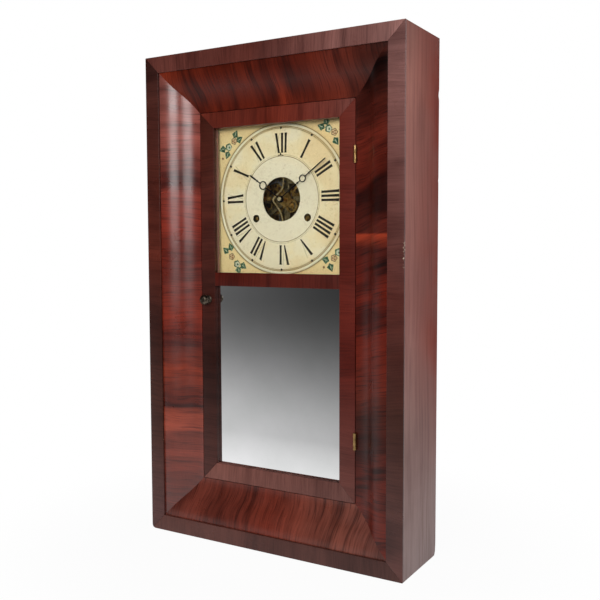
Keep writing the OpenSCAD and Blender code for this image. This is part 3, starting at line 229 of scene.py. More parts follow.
class Nodes:
    """A shader tree, with short words for the nodes that the finishes and the stage use."""

    def __init__(self, tree):
        self.tree = tree
        self.coord = self.add("TexCoord").outputs
        self.place = self.coord["Object"]

    def add(self, kind, links=(), **settings):
        """One node; links maps an input to a value, a hex colour or another node's output."""
        made = self.tree.nodes.new("ShaderNode" + kind)
        for key, value in settings.items():
            setattr(made, key, value)
        for key, value in dict(links).items():
            if isinstance(value, bpy.types.NodeSocket):
                self.tree.links.new(value, made.inputs[key])
            else:
                made.inputs[key].default_value = rgb(value) if isinstance(value, str) else value
        return made

    def noise(self, scale, detail, roughness=0.5, place=None, output="Fac"):
        """Cloudy noise with this many clouds in a metre."""
        place = self.place if place is None else place
        links = {"Vector": place, "Scale": scale, "Detail": detail, "Roughness": roughness}
        return self.add("TexNoise", links).outputs[output]

    def spread(self, value, low, high, to_low=0, to_high=1, **settings):
        """A value's stretch from low to high, turned into another stretch and held at its ends."""
        links = {0: value, 1: low, 2: high, 3: to_low, 4: to_high}
        return self.add("MapRange", links, **settings).outputs[0]

    def tones(self, value, stops):
        """The colour that belongs to a value from 0 to 1."""
        made = self.add("ValToRGB", {"Fac": value})
        ramp = made.color_ramp.elements
        while len(ramp) < len(stops):
            ramp.new(1)
        for element, (place, tone) in zip(ramp, stops):
            element.position = place
            element.color = rgb(tone) if isinstance(tone, str) else tone
        return made.outputs[0]

    def maths(self, operation, first, second=0.5):
        return self.add("Math", {0: first, 1: second}, operation=operation).outputs[0]

    def mix(self, share, first, second, kind="MIX"):
        """Two colours, mixed or multiplied by a share."""
        links = {0: share, 6: first, 7: second}
        return self.add("Mix", links, data_type="RGBA", blend_type=kind).outputs[2]

    def between(self, share, first, second):
        """A number between two others."""
        return self.add("Mix", {0: share, 2: first, 3: second}, data_type="FLOAT").outputs[0]

    def either(self, share, first, second):
        """Two shaders by a share."""
        return self.add("MixShader", {0: share, 1: first, 2: second}).outputs[0]

    def relief(self, height, strength, distance, **under):
        """Fine relief, on top of another where one is given."""
        links = {"Height": height, "Strength": strength, "Distance": distance, **under}
        return self.add("Bump", links).outputs[0]

    def moved(self, operation, place, by):
        """A place moved or measured by a vector."""
        return self.add("VectorMath", {0: place, 1: by}, operation=operation).outputs

    def far(self, place):
        """How long a vector is."""
        return self.add("VectorMath", {0: place}, operation="LENGTH").outputs["Value"]

    def parts(self, place):
        return self.add("SeparateXYZ", {"Vector": place}).outputs

    def swayed(self, place, scale, detail, amount):
        """A place moved a little this way and that, so that grain wanders."""
        sway = self.noise(scale, detail, 0.5, place, "Color")
        sway = self.add("VectorMath", {0: sway, "Scale": amount}, operation="SCALE").outputs[0]
        return self.moved("ADD", place, sway)[0]

    def seen_white(self):
        """The light path, and 1 where the camera looks straight at the white or through glass at it.

        Light that a surface has already scattered or mirrored leaves through the glass into the dimmer
        room.
        """
        path = self.add("LightPath").outputs
        bounced = self.maths("ADD", path["Diffuse Depth"], path["Glossy Depth"])
        through = self.maths("SUBTRACT", path["Is Transmission Ray"], bounced)
        return path, self.maths("MAXIMUM", path["Is Camera Ray"], through)


class Finish(Nodes):
    """A material, with its constant values set on the shader."""

    def __init__(self, name, **values):
        self.material = bpy.data.materials.new(name)
        self.material.use_nodes = True
        super().__init__(self.material.node_tree)
        self.shader = self.tree.nodes["Principled BSDF"]
        for key, value in values.items():
            self.shader.inputs[key.replace("_", " ")].default_value = value

    def give(self, **inputs):
        """Links outputs to the shader's named inputs, and hands over the material."""
        for key, value in inputs.items():
            self.tree.links.new(value, self.shader.inputs[key.replace("_", " ")])
        return self.material

    def beside(self, share, second):
        """Shows a second shader by a share, and hands over the material."""
        both = self.either(share, self.shader.outputs[0], second)
        return self.surface(both)

    def surface(self, shown):
        self.tree.links.new(shown, self.tree.nodes["Material Output"].inputs["Surface"])
        return self.material


def is_upright(name):
    return name.endswith(("left", "right"))


def veneer(name, finish_name, seed, roughness, chips=None):
    """Sliced flame mahogany, glued with its grain across the strip and shellacked by hand.

    The eye gets fine dark pores across the strip, leaning ripples of dark and orange wood, broad dark
    patches between them, sheets that change tone along the strip, and a soft gloss from the shellac.
    seed picks another place in the wood for each strip.
    """
    ripple, tilt, contrast, figure, gloss, zones = VENEERS[name]
    upright = is_upright(name)
    f = Finish(finish_name, IOR=1.5, Specular_IOR_Level=gloss)
    # A strip that lies across has its grain upright, so the pattern turns a quarter.
    quarter = 0 if upright else math.pi / 2
    turned = f.add("Mapping", {0: f.place, 1: (seed, seed, seed), 2: (0, quarter, 0)}).outputs[0]
    bent = f.swayed(turned, 7, 2, 0.03)
    along = f.parts(f.place)
    low, high = (0, CASE_H) if upright else (-CASE_W / 2, CASE_W / 2)
    share = f.spread(along["Z" if upright else "X"], low * MM, high * MM)
    wood = f.tones(share, [((z - low) / (high - low), tone) for z, tone in zones])
    # Size of the pattern in mm, its lean, its detail, and how it darkens or lightens the wood.
    # Real pores lie 0.3 mm apart, which is too fine to show here, so they are drawn 1.5 mm apart.
    for size, lean, detail, shades in (
        ((170, 170, 60), tilt, 2, [(0.36, 1 - 0.62 * figure), (0.5, 1), (0.68, 1 + 0.3 * figure)]),
        ((200, 200, ripple * 1.7), tilt, 4, [(0.34, 1 - 0.75 * contrast), (0.46, 1 - 0.12 * contrast),
                                             (0.58, 1 + 0.1 * contrast), (0.72, 1 + 0.42 * contrast)]),
        ((36, 36, 1.5), tilt * 0.6, 2, [(0.3, 0.9 - 0.55 * contrast), (0.47, 0.95), (0.7, 1.12)]),
    ):
        links = {"Vector": bent, "Rotation": (0, lean, 0), "Scale": [s * MM for s in size]}
        stretched = f.add("Mapping", links, vector_type="TEXTURE").outputs[0]
        grain = f.noise(1, detail, 0.6, stretched)
        # Dark wood turns browner as well as darker.
        browns = [(step, s, s * min(1, 0.8 + 0.2 * s)) for step, s in shades]
        shade = f.tones(grain, [(step, (red, rest, rest, 1)) for step, red, rest in browns])
        wood = f.mix(1, wood, shade, "MULTIPLY")
    if chips:
        # Pale bare wood in small flakes along the last 2 mm before the edge
        edge, fade = CASE_W / 2, 8
        flakes = f.spread(f.noise(420, 1), 0.56, 0.68)
        for axis, start, end in (("X", edge - 2.2, edge - 1.6), ("Z", chips[0], chips[0] + fade),
                                 ("Z", chips[1], chips[1] - fade)):
            flakes = f.maths("MULTIPLY", flakes, f.spread(along[axis], start * MM, end * MM))
        wood = f.mix(flakes, wood, "#d2bfa8")
    polish = f.noise(30, 4)
    pores = f.relief(grain, 0.12, 0.0004)
    return f.give(Base_Color=wood, Normal=f.relief(polish, 0.12, 0.002, Normal=pores),
                  Roughness=f.spread(polish, 0.3, 0.7, roughness - 0.04, roughness + 0.08))


def plain_board(name, tone, grain, contrast=0.5, roughness=0.45, gloss=0.5, back=None):
    """Planed softwood with straight grain along `grain`, bare or under a thin red wash.

    The eye gets long streaks of early and late wood, a few millimetres apart, and dull patches.
    tone is one colour, or (height in mm, tone) from the foot up; back is the tone at the back edge.
    """
    f = Finish(name, IOR=1.5, Specular_IOR_Level=gloss)
    # Growth rings show as streaks about 6 mm apart, with finer ones between.
    streaks = {"X": (6, 160, 160), "Z": (160, 160, 6)}[grain]
    stretched = f.add("Mapping", {"Vector": f.swayed(f.place, 5, 1, 0.02), "Scale": streaks}).outputs[0]
    rings = f.noise(1, 5, 0.6, stretched)
    dark, light = 1 - 0.6 * contrast, 1 + 0.25 * contrast
    shade = f.tones(rings, [(0.3, (1 - 0.5 * contrast, dark, dark, 1)), (0.5, (1, 1, 1, 1)),
                            (0.7, (light, light, light, 1))])
    parts = f.parts(f.place)
    if isinstance(tone, list):
        height = f.spread(parts["Z"], 0, CASE_H * MM)
        tone = f.tones(height, [(z / CASE_H, code) for z, code in tone])
    patches = f.noise(9, 4)
    if back:
        # Above the foot the board turns in clouds to the back tone towards its back edge; the paler, greyer
        # tone left at the foot and towards the front is painted sheen.
        depth = f.spread(parts["Y"], at(0, 20, 0).y, at(0, 106, 0).y, 0, 2)
        sheen_fade = f.maths("MULTIPLY", depth, patches)
        sheen_fade = f.maths("MULTIPLY", sheen_fade, f.spread(parts["Z"], 0.1, 0.32))
        tone = f.mix(sheen_fade, tone, back)
    dull = f.tones(patches, [(0.35, (0.82, 0.78, 0.78, 1)), (0.65, (1.08, 1.08, 1.08, 1))])
    wood = f.mix(1, f.mix(1, tone, shade, "MULTIPLY"), dull, "MULTIPLY")
    return f.give(Base_Color=wood, Normal=f.relief(rings, 0.3, 0.0005),
                  Roughness=f.spread(patches, 0, 1, roughness - 0.08, roughness + 0.12))


def metal(name, tone, spots, roughness, duller, scale, grit=0.08):
    """A bare or tarnished metal: brown spots in its colour, which are also duller than the rest.

    scale is the number of spots in a metre, so 90 gives patches of about 11 mm. grit is how rough the
    surface looks from near.
    """
    f = Finish(name, Metallic=1)
    spotted = f.noise(scale, 6, 0.65)
    return f.give(Base_Color=f.tones(spotted, [(0.36, spots), (0.62, tone)]),
                  Roughness=f.spread(spotted, 0.3, 0.7, roughness + duller, roughness),
                  Normal=f.relief(f.noise(1400, 2), grit, 0.0002))


def paint(name, tone, worn, wear=0.5, scale=900):
    """Brushed oil paint over the dial, thin and rubbed through in specks to the ground below."""
    f = Finish(name, IOR=1.48, Roughness=0.5, Specular_IOR_Level=0.2)
    return f.give(Base_Color=f.tones(f.noise(scale, 4), [(wear, tone), (wear + 0.18, worn)]))


def dial_paint(look):
    """Cream oil paint brushed on zinc sheet, 170 years old.

    The eye gets a satin cream that has yellowed in soft patches round the hours, a paler middle
    that the light reaches, dark specks, and brown bands on both sides of a paler raised ring.
    """
    f = Finish("aged_dial_paint_on_zinc", IOR=1.48)
    from_middle = f.moved("ADD", f.place, (0, 0, -DIAL_Z * MM))[0]
    radius = f.far(f.moved("MULTIPLY", from_middle, (1, 0, 1))[0])
    line, ring, widest = mm(look.chapter), mm(look.ring), 150
    zones = ((0, look.inner), (line - 0.4, look.inner), (line + 0.4, look.cream), (ring - 7, look.cream),
             (ring - 2, "#cdb480"), (ring - 1.2, "#e8dfbe"), (ring + 1, "#ece5c8"), (ring + 2, "#c6ac76"),
             (ring + 5, look.corner))
    sheet = f.tones(f.spread(radius, 0, widest * MM), [(r / widest, tone) for r, tone in zones])
    clouds = f.noise(24, 4)
    # The yellowed patches lie round the hours and most to the upper right; the left was cleaned paler.
    leaning = f.moved("DOT_PRODUCT", from_middle, (1.1, 0, 0.9))["Value"]
    leaning = f.maths("ADD", leaning, clouds)
    yellowed = f.maths("MULTIPLY", f.spread(leaning, 0.44, 0.72, 0, 0.5), f.spread(radius, 0.045, 0.07))
    hours = f.spread(radius, (ring - 2) * MM, (ring - 6) * MM)
    cleaned = f.maths("MULTIPLY", f.spread(leaning, 0.5, 0.4, 0, 0.7), hours)
    sheet = f.mix(yellowed, f.mix(cleaned, sheet, look.inner), look.peach)
    specks = f.noise(420, 5, 0.7)
    dirt = f.tones(specks, [(0.3, "#b7a27c"), (0.44, (1, 1, 1, 1))])
    return f.give(Base_Color=f.mix(0.6, sheet, dirt, "MULTIPLY"), Normal=f.relief(specks, 0.15, 0.0003),
                  Roughness=f.spread(clouds, 0, 1, 0.42, 0.62))


def old_window_glass():
    """Drawn window glass: clear, faintly green, slightly wavy, so reflections swim in it."""
    f = Finish("drawn_window_glass", Roughness=0.02, IOR=1.5, Transmission_Weight=1,
               Base_Color=rgb("#f4f8f6"))
    f.give(Normal=f.relief(f.noise(12, 1), 0.06, 0.002))
    # Light passes the pane without the noise of bent shadows.
    return f.beside(f.add("LightPath").outputs["Is Shadow Ray"], f.add("BsdfTransparent").outputs[0])


def mirror_silvering():
    """Tin and mercury silvering behind drawn glass.

    The eye gets a nearly clean mirror with cloudy, slightly duller places.
    """
    f = Finish("tin_and_mercury_silvering", Metallic=1)
    clouds = f.noise(14, 5)
    f.give(Base_Color=f.tones(clouds, [(0.35, "#eff0f0"), (0.65, "#f8f8f9")]),
           Roughness=f.spread(clouds, 0, 1, 0.02, 0.07))
    # The back shows the bare, dull amalgam.
    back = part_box("mirror_glass")[1].y
    behind = f.spread(f.parts(f.place)["Y"], back - 0.3 * MM, back - 0.1 * MM)
    return f.beside(behind, f.add("BsdfDiffuse", {"Color": "#77746e", "Roughness": 0.6}).outputs[0])


# Shapes

# How thick a painted mark is, and how much of that stands before its sheet, in mm
PAINT_THICK = 0.15
PAINT_PROUD = 0.05
# How far a second coat of paint lies over the first, in mm
COAT = 0.01


def circle(steps):
    """Equal turns round a circle, in radians."""
    return [2 * math.pi * k / steps for k in range(steps)]


def placed(name, data):
    """An object in the scene."""
    made = bpy.data.objects.new(name, data)
    bpy.context.scene.collection.objects.link(made)
    return made


class Shape:
    """Collects closed shells in millimetres as (across, depth, height)."""

    def __init__(self):
        self.points = []
        self.faces = []

    def skin(self, rings, joined=False):
        """A skin over rings of points, with a cap at each end unless the last ring joins the first."""
        n, count, start = len(rings[0]), len(rings), len(self.points)
        self.points += [point for ring in rings for point in ring]
        faces = []
        for j in range(count if joined else count - 1):
            low, high = j * n, (j + 1) % count * n
            faces += [[low + k, low + (k + 1) % n, high + (k + 1) % n, high + k] for k in range(n)]
        if not joined:
            faces += [list(range(n))[::-1], list(range((count - 1) * n, count * n))]
        self.faces += [[start + i for i in face] for face in faces]

    def prism(self, outline, low, high, sideways=False):
        """An across-height outline pushed along the depth, or a depth-height one pushed sideways."""
        self.skin([[(s, u, v) if sideways else (u, s, v) for u, v in outline] for s in (low, high)])

    def mark(self, outline, depth):
        """One painted mark, mostly sunk into the sheet behind it."""
        self.prism(outline, depth, depth + PAINT_THICK)

    def lathe(self, profile, centre, steps, joined=False):
        """A turned form along the depth: profile holds (radius, depth) from one end to the other."""
        x, z = centre
        self.skin([[(x + r * math.cos(a), d, z + r * math.sin(a)) for a in circle(steps)]
                   for r, d in profile], joined)

    def piece(self, name, body, slot, finish, stands_for=(), wear=0.0, angle=35):
        """The collected shells as one piece that rides a body and stands for CAD nodes.

        wear is the radius of the worn edges in mm; edges sharper than angle stay sharp to the eye.
        """
        mesh = bpy.data.meshes.new(name)
        mesh.from_pydata([at(*p) for p in self.points], [], self.faces)
        shape = bmesh.new()
        shape.from_mesh(mesh)
        bmesh.ops.recalc_face_normals(shape, faces=shape.faces)
        if wear > 0:
            sharp = [e for e in shape.edges if len(e.link_faces) == 2
                     and e.calc_face_angle() > math.radians(40)]
            bmesh.ops.bevel(shape, geom=sharp, offset=wear * MM, segments=3, profile=0.6,
                            affect="EDGES", clamp_overlap=True)
        for face in shape.faces:
            face.smooth = True
        shape.to_mesh(mesh)
        shape.free()
        mesh.set_sharp_from_angle(angle=math.radians(angle))
        made = placed(name, mesh)
        mesh.materials.append(finish)
        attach(made, body)
        if stands_for:
            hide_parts(*stands_for)
        return made


def dress(finish, *nodes):
    """Gives CAD nodes a finish in all their material slots."""
    for name in nodes:
        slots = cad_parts[name].data.materials
        if not slots:
            slots.append(finish)
        for i in range(len(slots)):
            slots[i] = finish


def polar(r, degrees, centre):
    """Place at a clock angle: 0 at twelve, 90 at three."""
    a = math.radians(degrees)
    return (centre[0] + r * math.sin(a), centre[1] + r * math.cos(a))


# Operators, one for each group of pieces

# The camera's place in metres, and how far it turns right, looks up and leans, in radians. Both were
# found by fitting the corners and edges of the case in the photo.
CAMERA_PLACE = (0.57704, -0.93409, 0.40475)
CAMERA_TURNS = (-0.5366078, -0.0683094, -0.0029274)


class CLOCK_OT_stage(bpy.types.Operator):
    """Camera, softboxes, floor and white room"""

    bl_idname = "ogee_clock.stage"
    bl_label = "Stage"

    def execute(self, context):
        scene = context.scene
        look = scene.ogee_clock.stage
        scene.view_settings.view_transform = "Standard"
        scene.camera = self.camera(look)
        for name, place, target, size, power in (
            ("front_softbox", (0.42, -1.62, 0.86), (0.0, 0.0, 0.46), (1.0, 0.62), look.key),
            ("side_softbox", (1.9, -0.25, 0.75), (0.1, 0.0, 0.35), (0.9, 0.9), look.side),
        ):
            lamp = bpy.data.lights.new(name, "AREA")
            lamp.shape = "RECTANGLE"
            lamp.size, lamp.size_y = size
            lamp.energy = power
            holder = placed(name, lamp)
            holder.location = place
            way = Vector(target) - Vector(place)
            holder.rotation_euler = way.to_track_quat("-Z", "Y").to_euler()
            holder.visible_camera = False
        self.room(scene, look)
        self.floor()
        return {"FINISHED"}

    def camera(self, look):
        camera = placed("camera", bpy.data.cameras.new("camera"))
        camera.data.lens = look.lens
        camera.data.sensor_width = 36
        camera.data.clip_end = 50
        yaw, pitch, roll = CAMERA_TURNS
        turn = Matrix.Rotation(-yaw, 4, "Z") @ Matrix.Rotation(math.pi / 2 + pitch, 4, "X")
        turn @= Matrix.Rotation(roll, 4, "Z")
        camera.matrix_world = Matrix.Translation(CAMERA_PLACE) @ turn
        return camera

    def room(self, scene, look):
        """White backdrop behind the clock, and a dark studio before it that only reflections see."""
        world = bpy.data.worlds.new("white_room")
        scene.world = world
        world.use_nodes = True
        world.node_tree.nodes.clear()
        f = Nodes(world.node_tree)
        behind = f.spread(f.parts(f.coord["Generated"])["Y"], -0.1, 0.3, 0.03, 1)
        path, clear = f.seen_white()
        level = f.between(clear, f.between(path["Is Glossy Ray"], look.fill, behind), 1)
        white = f.add("Background", {"Color": "#ffffff", "Strength": level}).outputs[0]
        f.add("OutputWorld", {"Surface": white})

    def floor(self):
        """A pale floor that keeps the clock's shadow and passes into the white room away from it."""
        mesh = bpy.data.meshes.new("studio_floor")
        shape = bmesh.new()
        bmesh.ops.create_grid(shape, x_segments=8, y_segments=8, size=6)
        shape.to_mesh(mesh)
        shape.free()
        f = Finish("white_paper_floor", Roughness=0.9, Specular_IOR_Level=0.2, Base_Color=rgb("#f2f1ef"))
        path, clear = f.seen_white()
        fade = f.spread(f.far(f.place), 0.2, 0.5, 0.96, 1, interpolation_type="SMOOTHSTEP")
        white = f.add("Emission", {"Color": "#ffffff", "Strength": 1}).outputs[0]
        seen = f.either(f.maths("MULTIPLY", fade, clear), f.shader.outputs[0], white)
        # In reflections the paper is bright by the clock and to its left, and falls into the dark
        # before it, so that the mirror shows grey above and white below.
        parts = f.parts(f.place)
        ahead = f.maths("POWER", f.spread(parts["Y"], 0, -8.15, 0, 10), 2.67)
        aside = f.maths("EXPONENT", f.maths("MULTIPLY", parts["X"], -0.887))
        light = f.maths("DIVIDE", aside, f.maths("ADD", ahead, 1))
        light = f.spread(light, 0.06, 1.75, 0.032, 0.97)
        light = f.between(f.spread(parts["Y"], -0.55, -0.2), light, 1)
        paper = f.add("Emission", {"Color": "#ffffff", "Strength": light}).outputs[0]
        mesh.materials.append(f.surface(f.either(path["Is Glossy Ray"], seen, paper)))
        return placed("studio_floor", mesh)


class CLOCK_OT_case(bpy.types.Operator):
    """Side, top, bottom and back boards, partitions and blocks"""

    bl_idname = "ogee_clock.case"
    bl_label = "Case boards"

    def execute(self, context):
        look = context.scene.ogee_clock.case
        # The right side board's tones by height are its red wash lightened by painted sheen, greyest at the
        # foot; back is the wash's own red at the back edge.
        heights_and_sheen = [(0, "#a69290"), (180, "#a4827c"), (330, "#ae7870"), (600, "#ba7e72"), (660, "#9e6a60")]
        washed = plain_board("red_washed_side_board_with_painted_sheen", heights_and_sheen, "Z", 0.5, 0.55, 0.1, "#8a2c16")
        dark = plain_board("dark_red_washed_board", "#5a352c", "Z")
        across = plain_board("red_washed_end_board", "#6d463a", "X", 0.5, 0.5)
        bare = plain_board("bare_aged_pine", look.pine, "Z", 0.55, 0.65)
        for name, finish in (("side_board_left", dark), ("side_board_right", washed)):
            (x0, x1), (d0, d1), (z0, z1) = span(name)
            outline = [(d0, z0), (d1, z0), (d1, z1), (d0, z1)]
            if name == "side_board_right":
                # The board has lost its lower corner and small splinters of its back edge:
                # how deep each one goes, and at what height.
                lost = ((4, z0), (1.2, z0 + 5), (0, z0 + 16), (0, 480), (0.9, 484), (0, 488), (0, 584),
                        (1.9, 589), (1.5, 593), (0, 597), (0, z1))
                outline[1:3] = [(d1 - deep, z) for deep, z in lost]
            shape = Shape()
            shape.prism(outline, x0, x1, sideways=True)
            shape.piece(name + "_planed", "case", "mahogany_veneer", finish, (name,), wear=mm(look.wear))
        dress(across, "top_board", "bottom_board")
        dress(bare, "back_board", "partitions", "movement_blocks")
        return {"FINISHED"}


class CLOCK_OT_bands(bpy.types.Operator):
    """Flat outer band of four mitred facing strips"""

    bl_idname = "ogee_clock.bands"
    bl_label = "Outer band"

    def execute(self, context):
        look = context.scene.ogee_clock.case
        x, h, w = CASE_W / 2, CASE_H, mm(look.band_w)
        # The lower left corner is rubbed off by this much along each edge and along the mitre.
        worn, rubbed = 5, 1.4
        strips = (
            ("band_left", [(-x + rubbed, rubbed), (-x + w, w), (-x + w, h - w), (-x, h), (-x, worn)]),
            ("band_right", [(x, 0), (x, h), (x - w, h - w), (x - w, w)]),
            ("band_top", [(-x, h), (-x + w, h - w), (x - w, h - w), (x, h)]),
            ("band_bottom", [(-x + rubbed, rubbed), (-x + worn, 0), (x, 0), (x - w, w), (-x + w, w)]),
        )
        for i, (name, outline) in enumerate(strips):
            finish = veneer(name, "banding_veneer_" + name[5:], 1.3 + i * 0.9, look.shellac,
                            CHIPS if name == "band_right" else None)
            shape = Shape()
            shape.prism(outline, *span("front_bands")[1])
            shape.piece(name, "case", "mahogany_veneer", finish, () if i else ("front_bands",),
                        wear=mm(look.wear) * 0.8)
        return {"FINISHED"}


class CLOCK_OT_ogee(bpy.types.Operator):
    """The four mitred ogee mouldings"""

    bl_idname = "ogee_clock.ogee"
    bl_label = "Ogee mouldings"

    def execute(self, context):
        look = context.scene.ogee_clock.case
        band, side, rail = mm(look.band_w), mm(look.ogee_side), mm(look.ogee_rail)
        x, h, outer = CASE_W / 2, CASE_H, mm(look.board_t)
        front, inner, back = span("front_bands")[1][1], DOOR_D[0], span("ogee_left")[1][1]
        # The face is two equal arcs, one round and one hollow, each half as wide and deep as the whole.
        half, fall = side / 2, (inner - front) / 2
        radius = (half * half + fall * fall) / (2 * fall)
        turns = [math.asin(half / radius) * k / look.steps for k in range(look.steps + 1)]
        arc = [(radius * math.sin(turn), radius * (1 - math.cos(turn))) for turn in turns]
        face = [(band + a, front + d) for a, d in arc]
        face += [(band + side - a, inner - d) for a, d in arc[-2::-1]]
        # Behind the face, a foot beside the door's opening and a step that seats on the side board
        foot, step, seat = band + side - 12, outer + 14, inner - 2
        section = [(outer, front)] + face + [(band + side, back), (foot, back), (step, seat), (outer, seat)]

        def mitre(a):
            """Height on the lower mitre for an inset from the case's side."""
            return band + (a - band) * rail / side

        for i, (name, edge) in enumerate((("ogee_left", -1), ("ogee_right", 1), ("ogee_top", 1),
                                          ("ogee_bottom", -1))):
            rings = []
            for end in (-1, 1):
                right, up = (edge, end) if is_upright(name) else (end, edge)
                rings.append([(right * (x - a), d, mitre(a) if up < 0 else h - mitre(a)) for a, d in section])
            shape = Shape()
            shape.skin(rings)
            finish = veneer(name, "flame_veneer_" + name[5:], i * 1.7, look.shellac)
            shape.piece(name + "_veneered", "case", "crotch_veneer", finish, (name,), angle=30)
        return {"FINISHED"}


class CLOCK_OT_door(bpy.types.Operator):
    """Door stiles, rails and glazing strips"""

    bl_idname = "ogee_clock.door"
    bl_label = "Door frame"

    def execute(self, context):
        case = context.scene.ogee_clock.case
        look = context.scene.ogee_clock.door
        stile, top, bottom, lap = mm(look.stile_w), mm(look.top_w), mm(look.bottom_w), mm(look.rebate)
        (x0, x1), _, (z0, z1) = span("door_rail_middle")
        left, right = span("door_stile_left")[0][0], span("door_stile_right")[0][1]
        low, high = span("door_rail_bottom")[2][0], span("door_rail_top")[2][1]

        def corner(across, height, share):
            """A corner of the opening in the frame; share is what the rebate leaves of the widths."""
            return (left + stile * share if across < 0 else right - stile * share,
                    low + bottom * share if height < 0 else high - top * share)

        near, far = DOOR_D
        glass = near + mm(look.lip)
        # Each mitred member runs from one corner of the frame to another.
        for i, (name, ends) in enumerate((
            ("door_stile_left", ((-1, -1), (-1, 1))), ("door_stile_right", ((1, -1), (1, 1))),
            ("door_rail_top", ((1, 1), (-1, 1))), ("door_rail_bottom", ((1, -1), (-1, -1))),
            ("door_rail_middle", ()),
        )):
            shape = Shape()
            # Full width in front of the glass, and what the rebate leaves behind it
            for share, start, end in ((1, near, glass), (1 - look.rebate / look.stile_w, glass, far)):
                # The middle rail has no mitres and stands between the stiles.
                if ends:
                    inner, outer = [[corner(*place, s) for place in ends] for s in (share, 0)]
                    outline = inner + outer[::-1]
                else:
                    a, b, cut = (left + stile, right - stile, 0) if share == 1 else (x0, x1, lap)
                    outline = [(a, z0 + cut), (b, z0 + cut), (b, z1 - cut), (a, z1 - cut)]
                shape.prism(outline, start, end)
            finish = veneer(name, "straight_mahogany_" + name[5:], 5.1 + i * 1.1, case.shellac + 0.05)
            shape.piece(name + "_veneered", "door", "door_mahogany", finish, (name,),
                        wear=mm(case.wear) * 0.7)
        dress(plain_board("stained_glazing_strip", "#94695e", "Z", 0.4, 0.5), "glazing_strips")
        return {"FINISHED"}


class CLOCK_OT_glass(bpy.types.Operator):
    """Clear pane over the dial and mirror below it"""

    bl_idname = "ogee_clock.glass"
    bl_label = "Glass and mirror"

    def execute(self, context):
        dress(old_window_glass(), "upper_glass")
        dress(mirror_silvering(), "mirror_glass")
        return {"FINISHED"}


class CLOCK_OT_fittings(bpy.types.Operator):
    """Hinges and turned knob"""

    bl_idname = "ogee_clock.fittings"
    bl_label = "Hinges and knob"

    def execute(self, context):
        look = context.scene.ogee_clock.metal
        # Rolled hinge brass, rubbed bright, with brown spots
        hinge = metal("rubbed_rolled_hinge_brass", look.hinge, "#8a6a40", 0.3, 0.2, 160)
        dress(hinge, "hinge_leaves_door", "hinge_leaves_case")
        # Cast and turned brass that has gone nearly black
        dark = metal("tarnished_turned_brass", look.knob, "#2a2018", 0.32, 0.2, 220)
        (x0, x1), (d0, d1), (foot, z1) = span("door_knob")
        x, r, door = (x0 + x1) / 2, (x1 - x0) / 2, DOOR_D[0]
        z, long, neck = z1 - r, door - d0, r * 0.42
        head = long * 0.66
        # A rose on the door, a neck, and a rounded head; each step is a radius and its height off the door.
        steps = [(0.3, 0.05), (r * 0.76, 0.05), (r * 0.82, 0.5), (r * 0.8, 1.2), (r * 0.6, 1.7),
                 (neck * 1.15, 2.5), (neck, 3.4), (neck, long - head)]
        core = neck * 0.6
        for k in range(13):
            a = math.radians(-60 + k * 12)
            steps.append((core + (r - core) * math.cos(a), long - head / 2 + head / 2 * math.sin(a)))
        steps += [(r * 0.28, long - 0.12), (0.3, long)]
        shape = Shape()
        shape.lathe([(radius, door - out) for radius, out in steps], (x, z), 64)
        # The spindle through the stile, and the catch that it turns
        shape.lathe([(2, door - 1), (2, d1)], (x, z), 24)
        shape.prism([(x - 3, foot), (x + 3, foot), (x + 3, z + 3), (x - 3, z + 3)], d1 - 2.5, d1 - 1)
        shape.piece("turned_knob_and_catch", "door_knob", "dark_brass", dark, ("door_knob",))
        return {"FINISHED"}


NUMERALS = ("I", "II", "III", "IIII", "V", "VI", "VII", "VIII", "IX", "X", "XI", "XII")
# A hand painted the numerals, so some sit this many millimetres clockwise of their hour.
NUMERAL_SHIFT = {3: -2.3, 6: -3.0, 7: -1.2, 8: -2.0, 9: 2.5}
# How far the raised ring stands proud of the dial's sheet, in mm
RING_RISE = 0.6
# Half the length of a painted leaf, in mm
LEAF_SIZE = 5.6


def mirrored(half):
    """An outline from its right half, which starts in the middle at the top."""
    return half + [(-x, z) for x, z in half[::-1] if x]


# A painted leaf and its vein, across and up from the middle, in half lengths of a leaf
LEAF = mirrored([(0, 1.2), (0.5, 0.5), (0.95, -0.25), (0.42, -0.55), (0.1, -0.9)])
VEIN = mirrored([(0, 0.9), (0.08, 0.0), (0, -0.6)])
# The small worn ornament under the twelve, in mm
ORNAMENT = mirrored([(0, 4.6), (0.6, 4.4), (0.9, 2.2), (2.6, 1.4), (4.3, 1.2), (4.6, 0.2), (2.4, 0.5),
                     (1.0, 1.0), (0, 0.8)])
# Marks of the corner sprigs, in mm from the middle of the dial
SPRIGS = (
    (("leaf", -73, 89), ("leaf", -67, 82), ("leaf", -93.5, 70.6), ("leaf", -86, 63), ("rose", -75, 80.5),
     ("bud", -84, 73), ("seed", -94, 58)),
    (("leaf", 68, 96), ("leaf", 61, 90), ("leaf", 81.5, 71), ("bud", 71, 87), ("rose", 79.5, 82)),
    (("leaf", -90, -68), ("leaf", -82, -63.5), ("leaf", -62, -88.5), ("leaf", -69.5, -94),
     ("rose", -80.5, -76), ("bud", -72, -86)),
    (("leaf", 67, -79.5), ("leaf", 74, -88.5), ("dot", 56, -80), ("rose", 79, -77), ("bud", 85, -69.5),
     ("seed", 64, -89)),
)


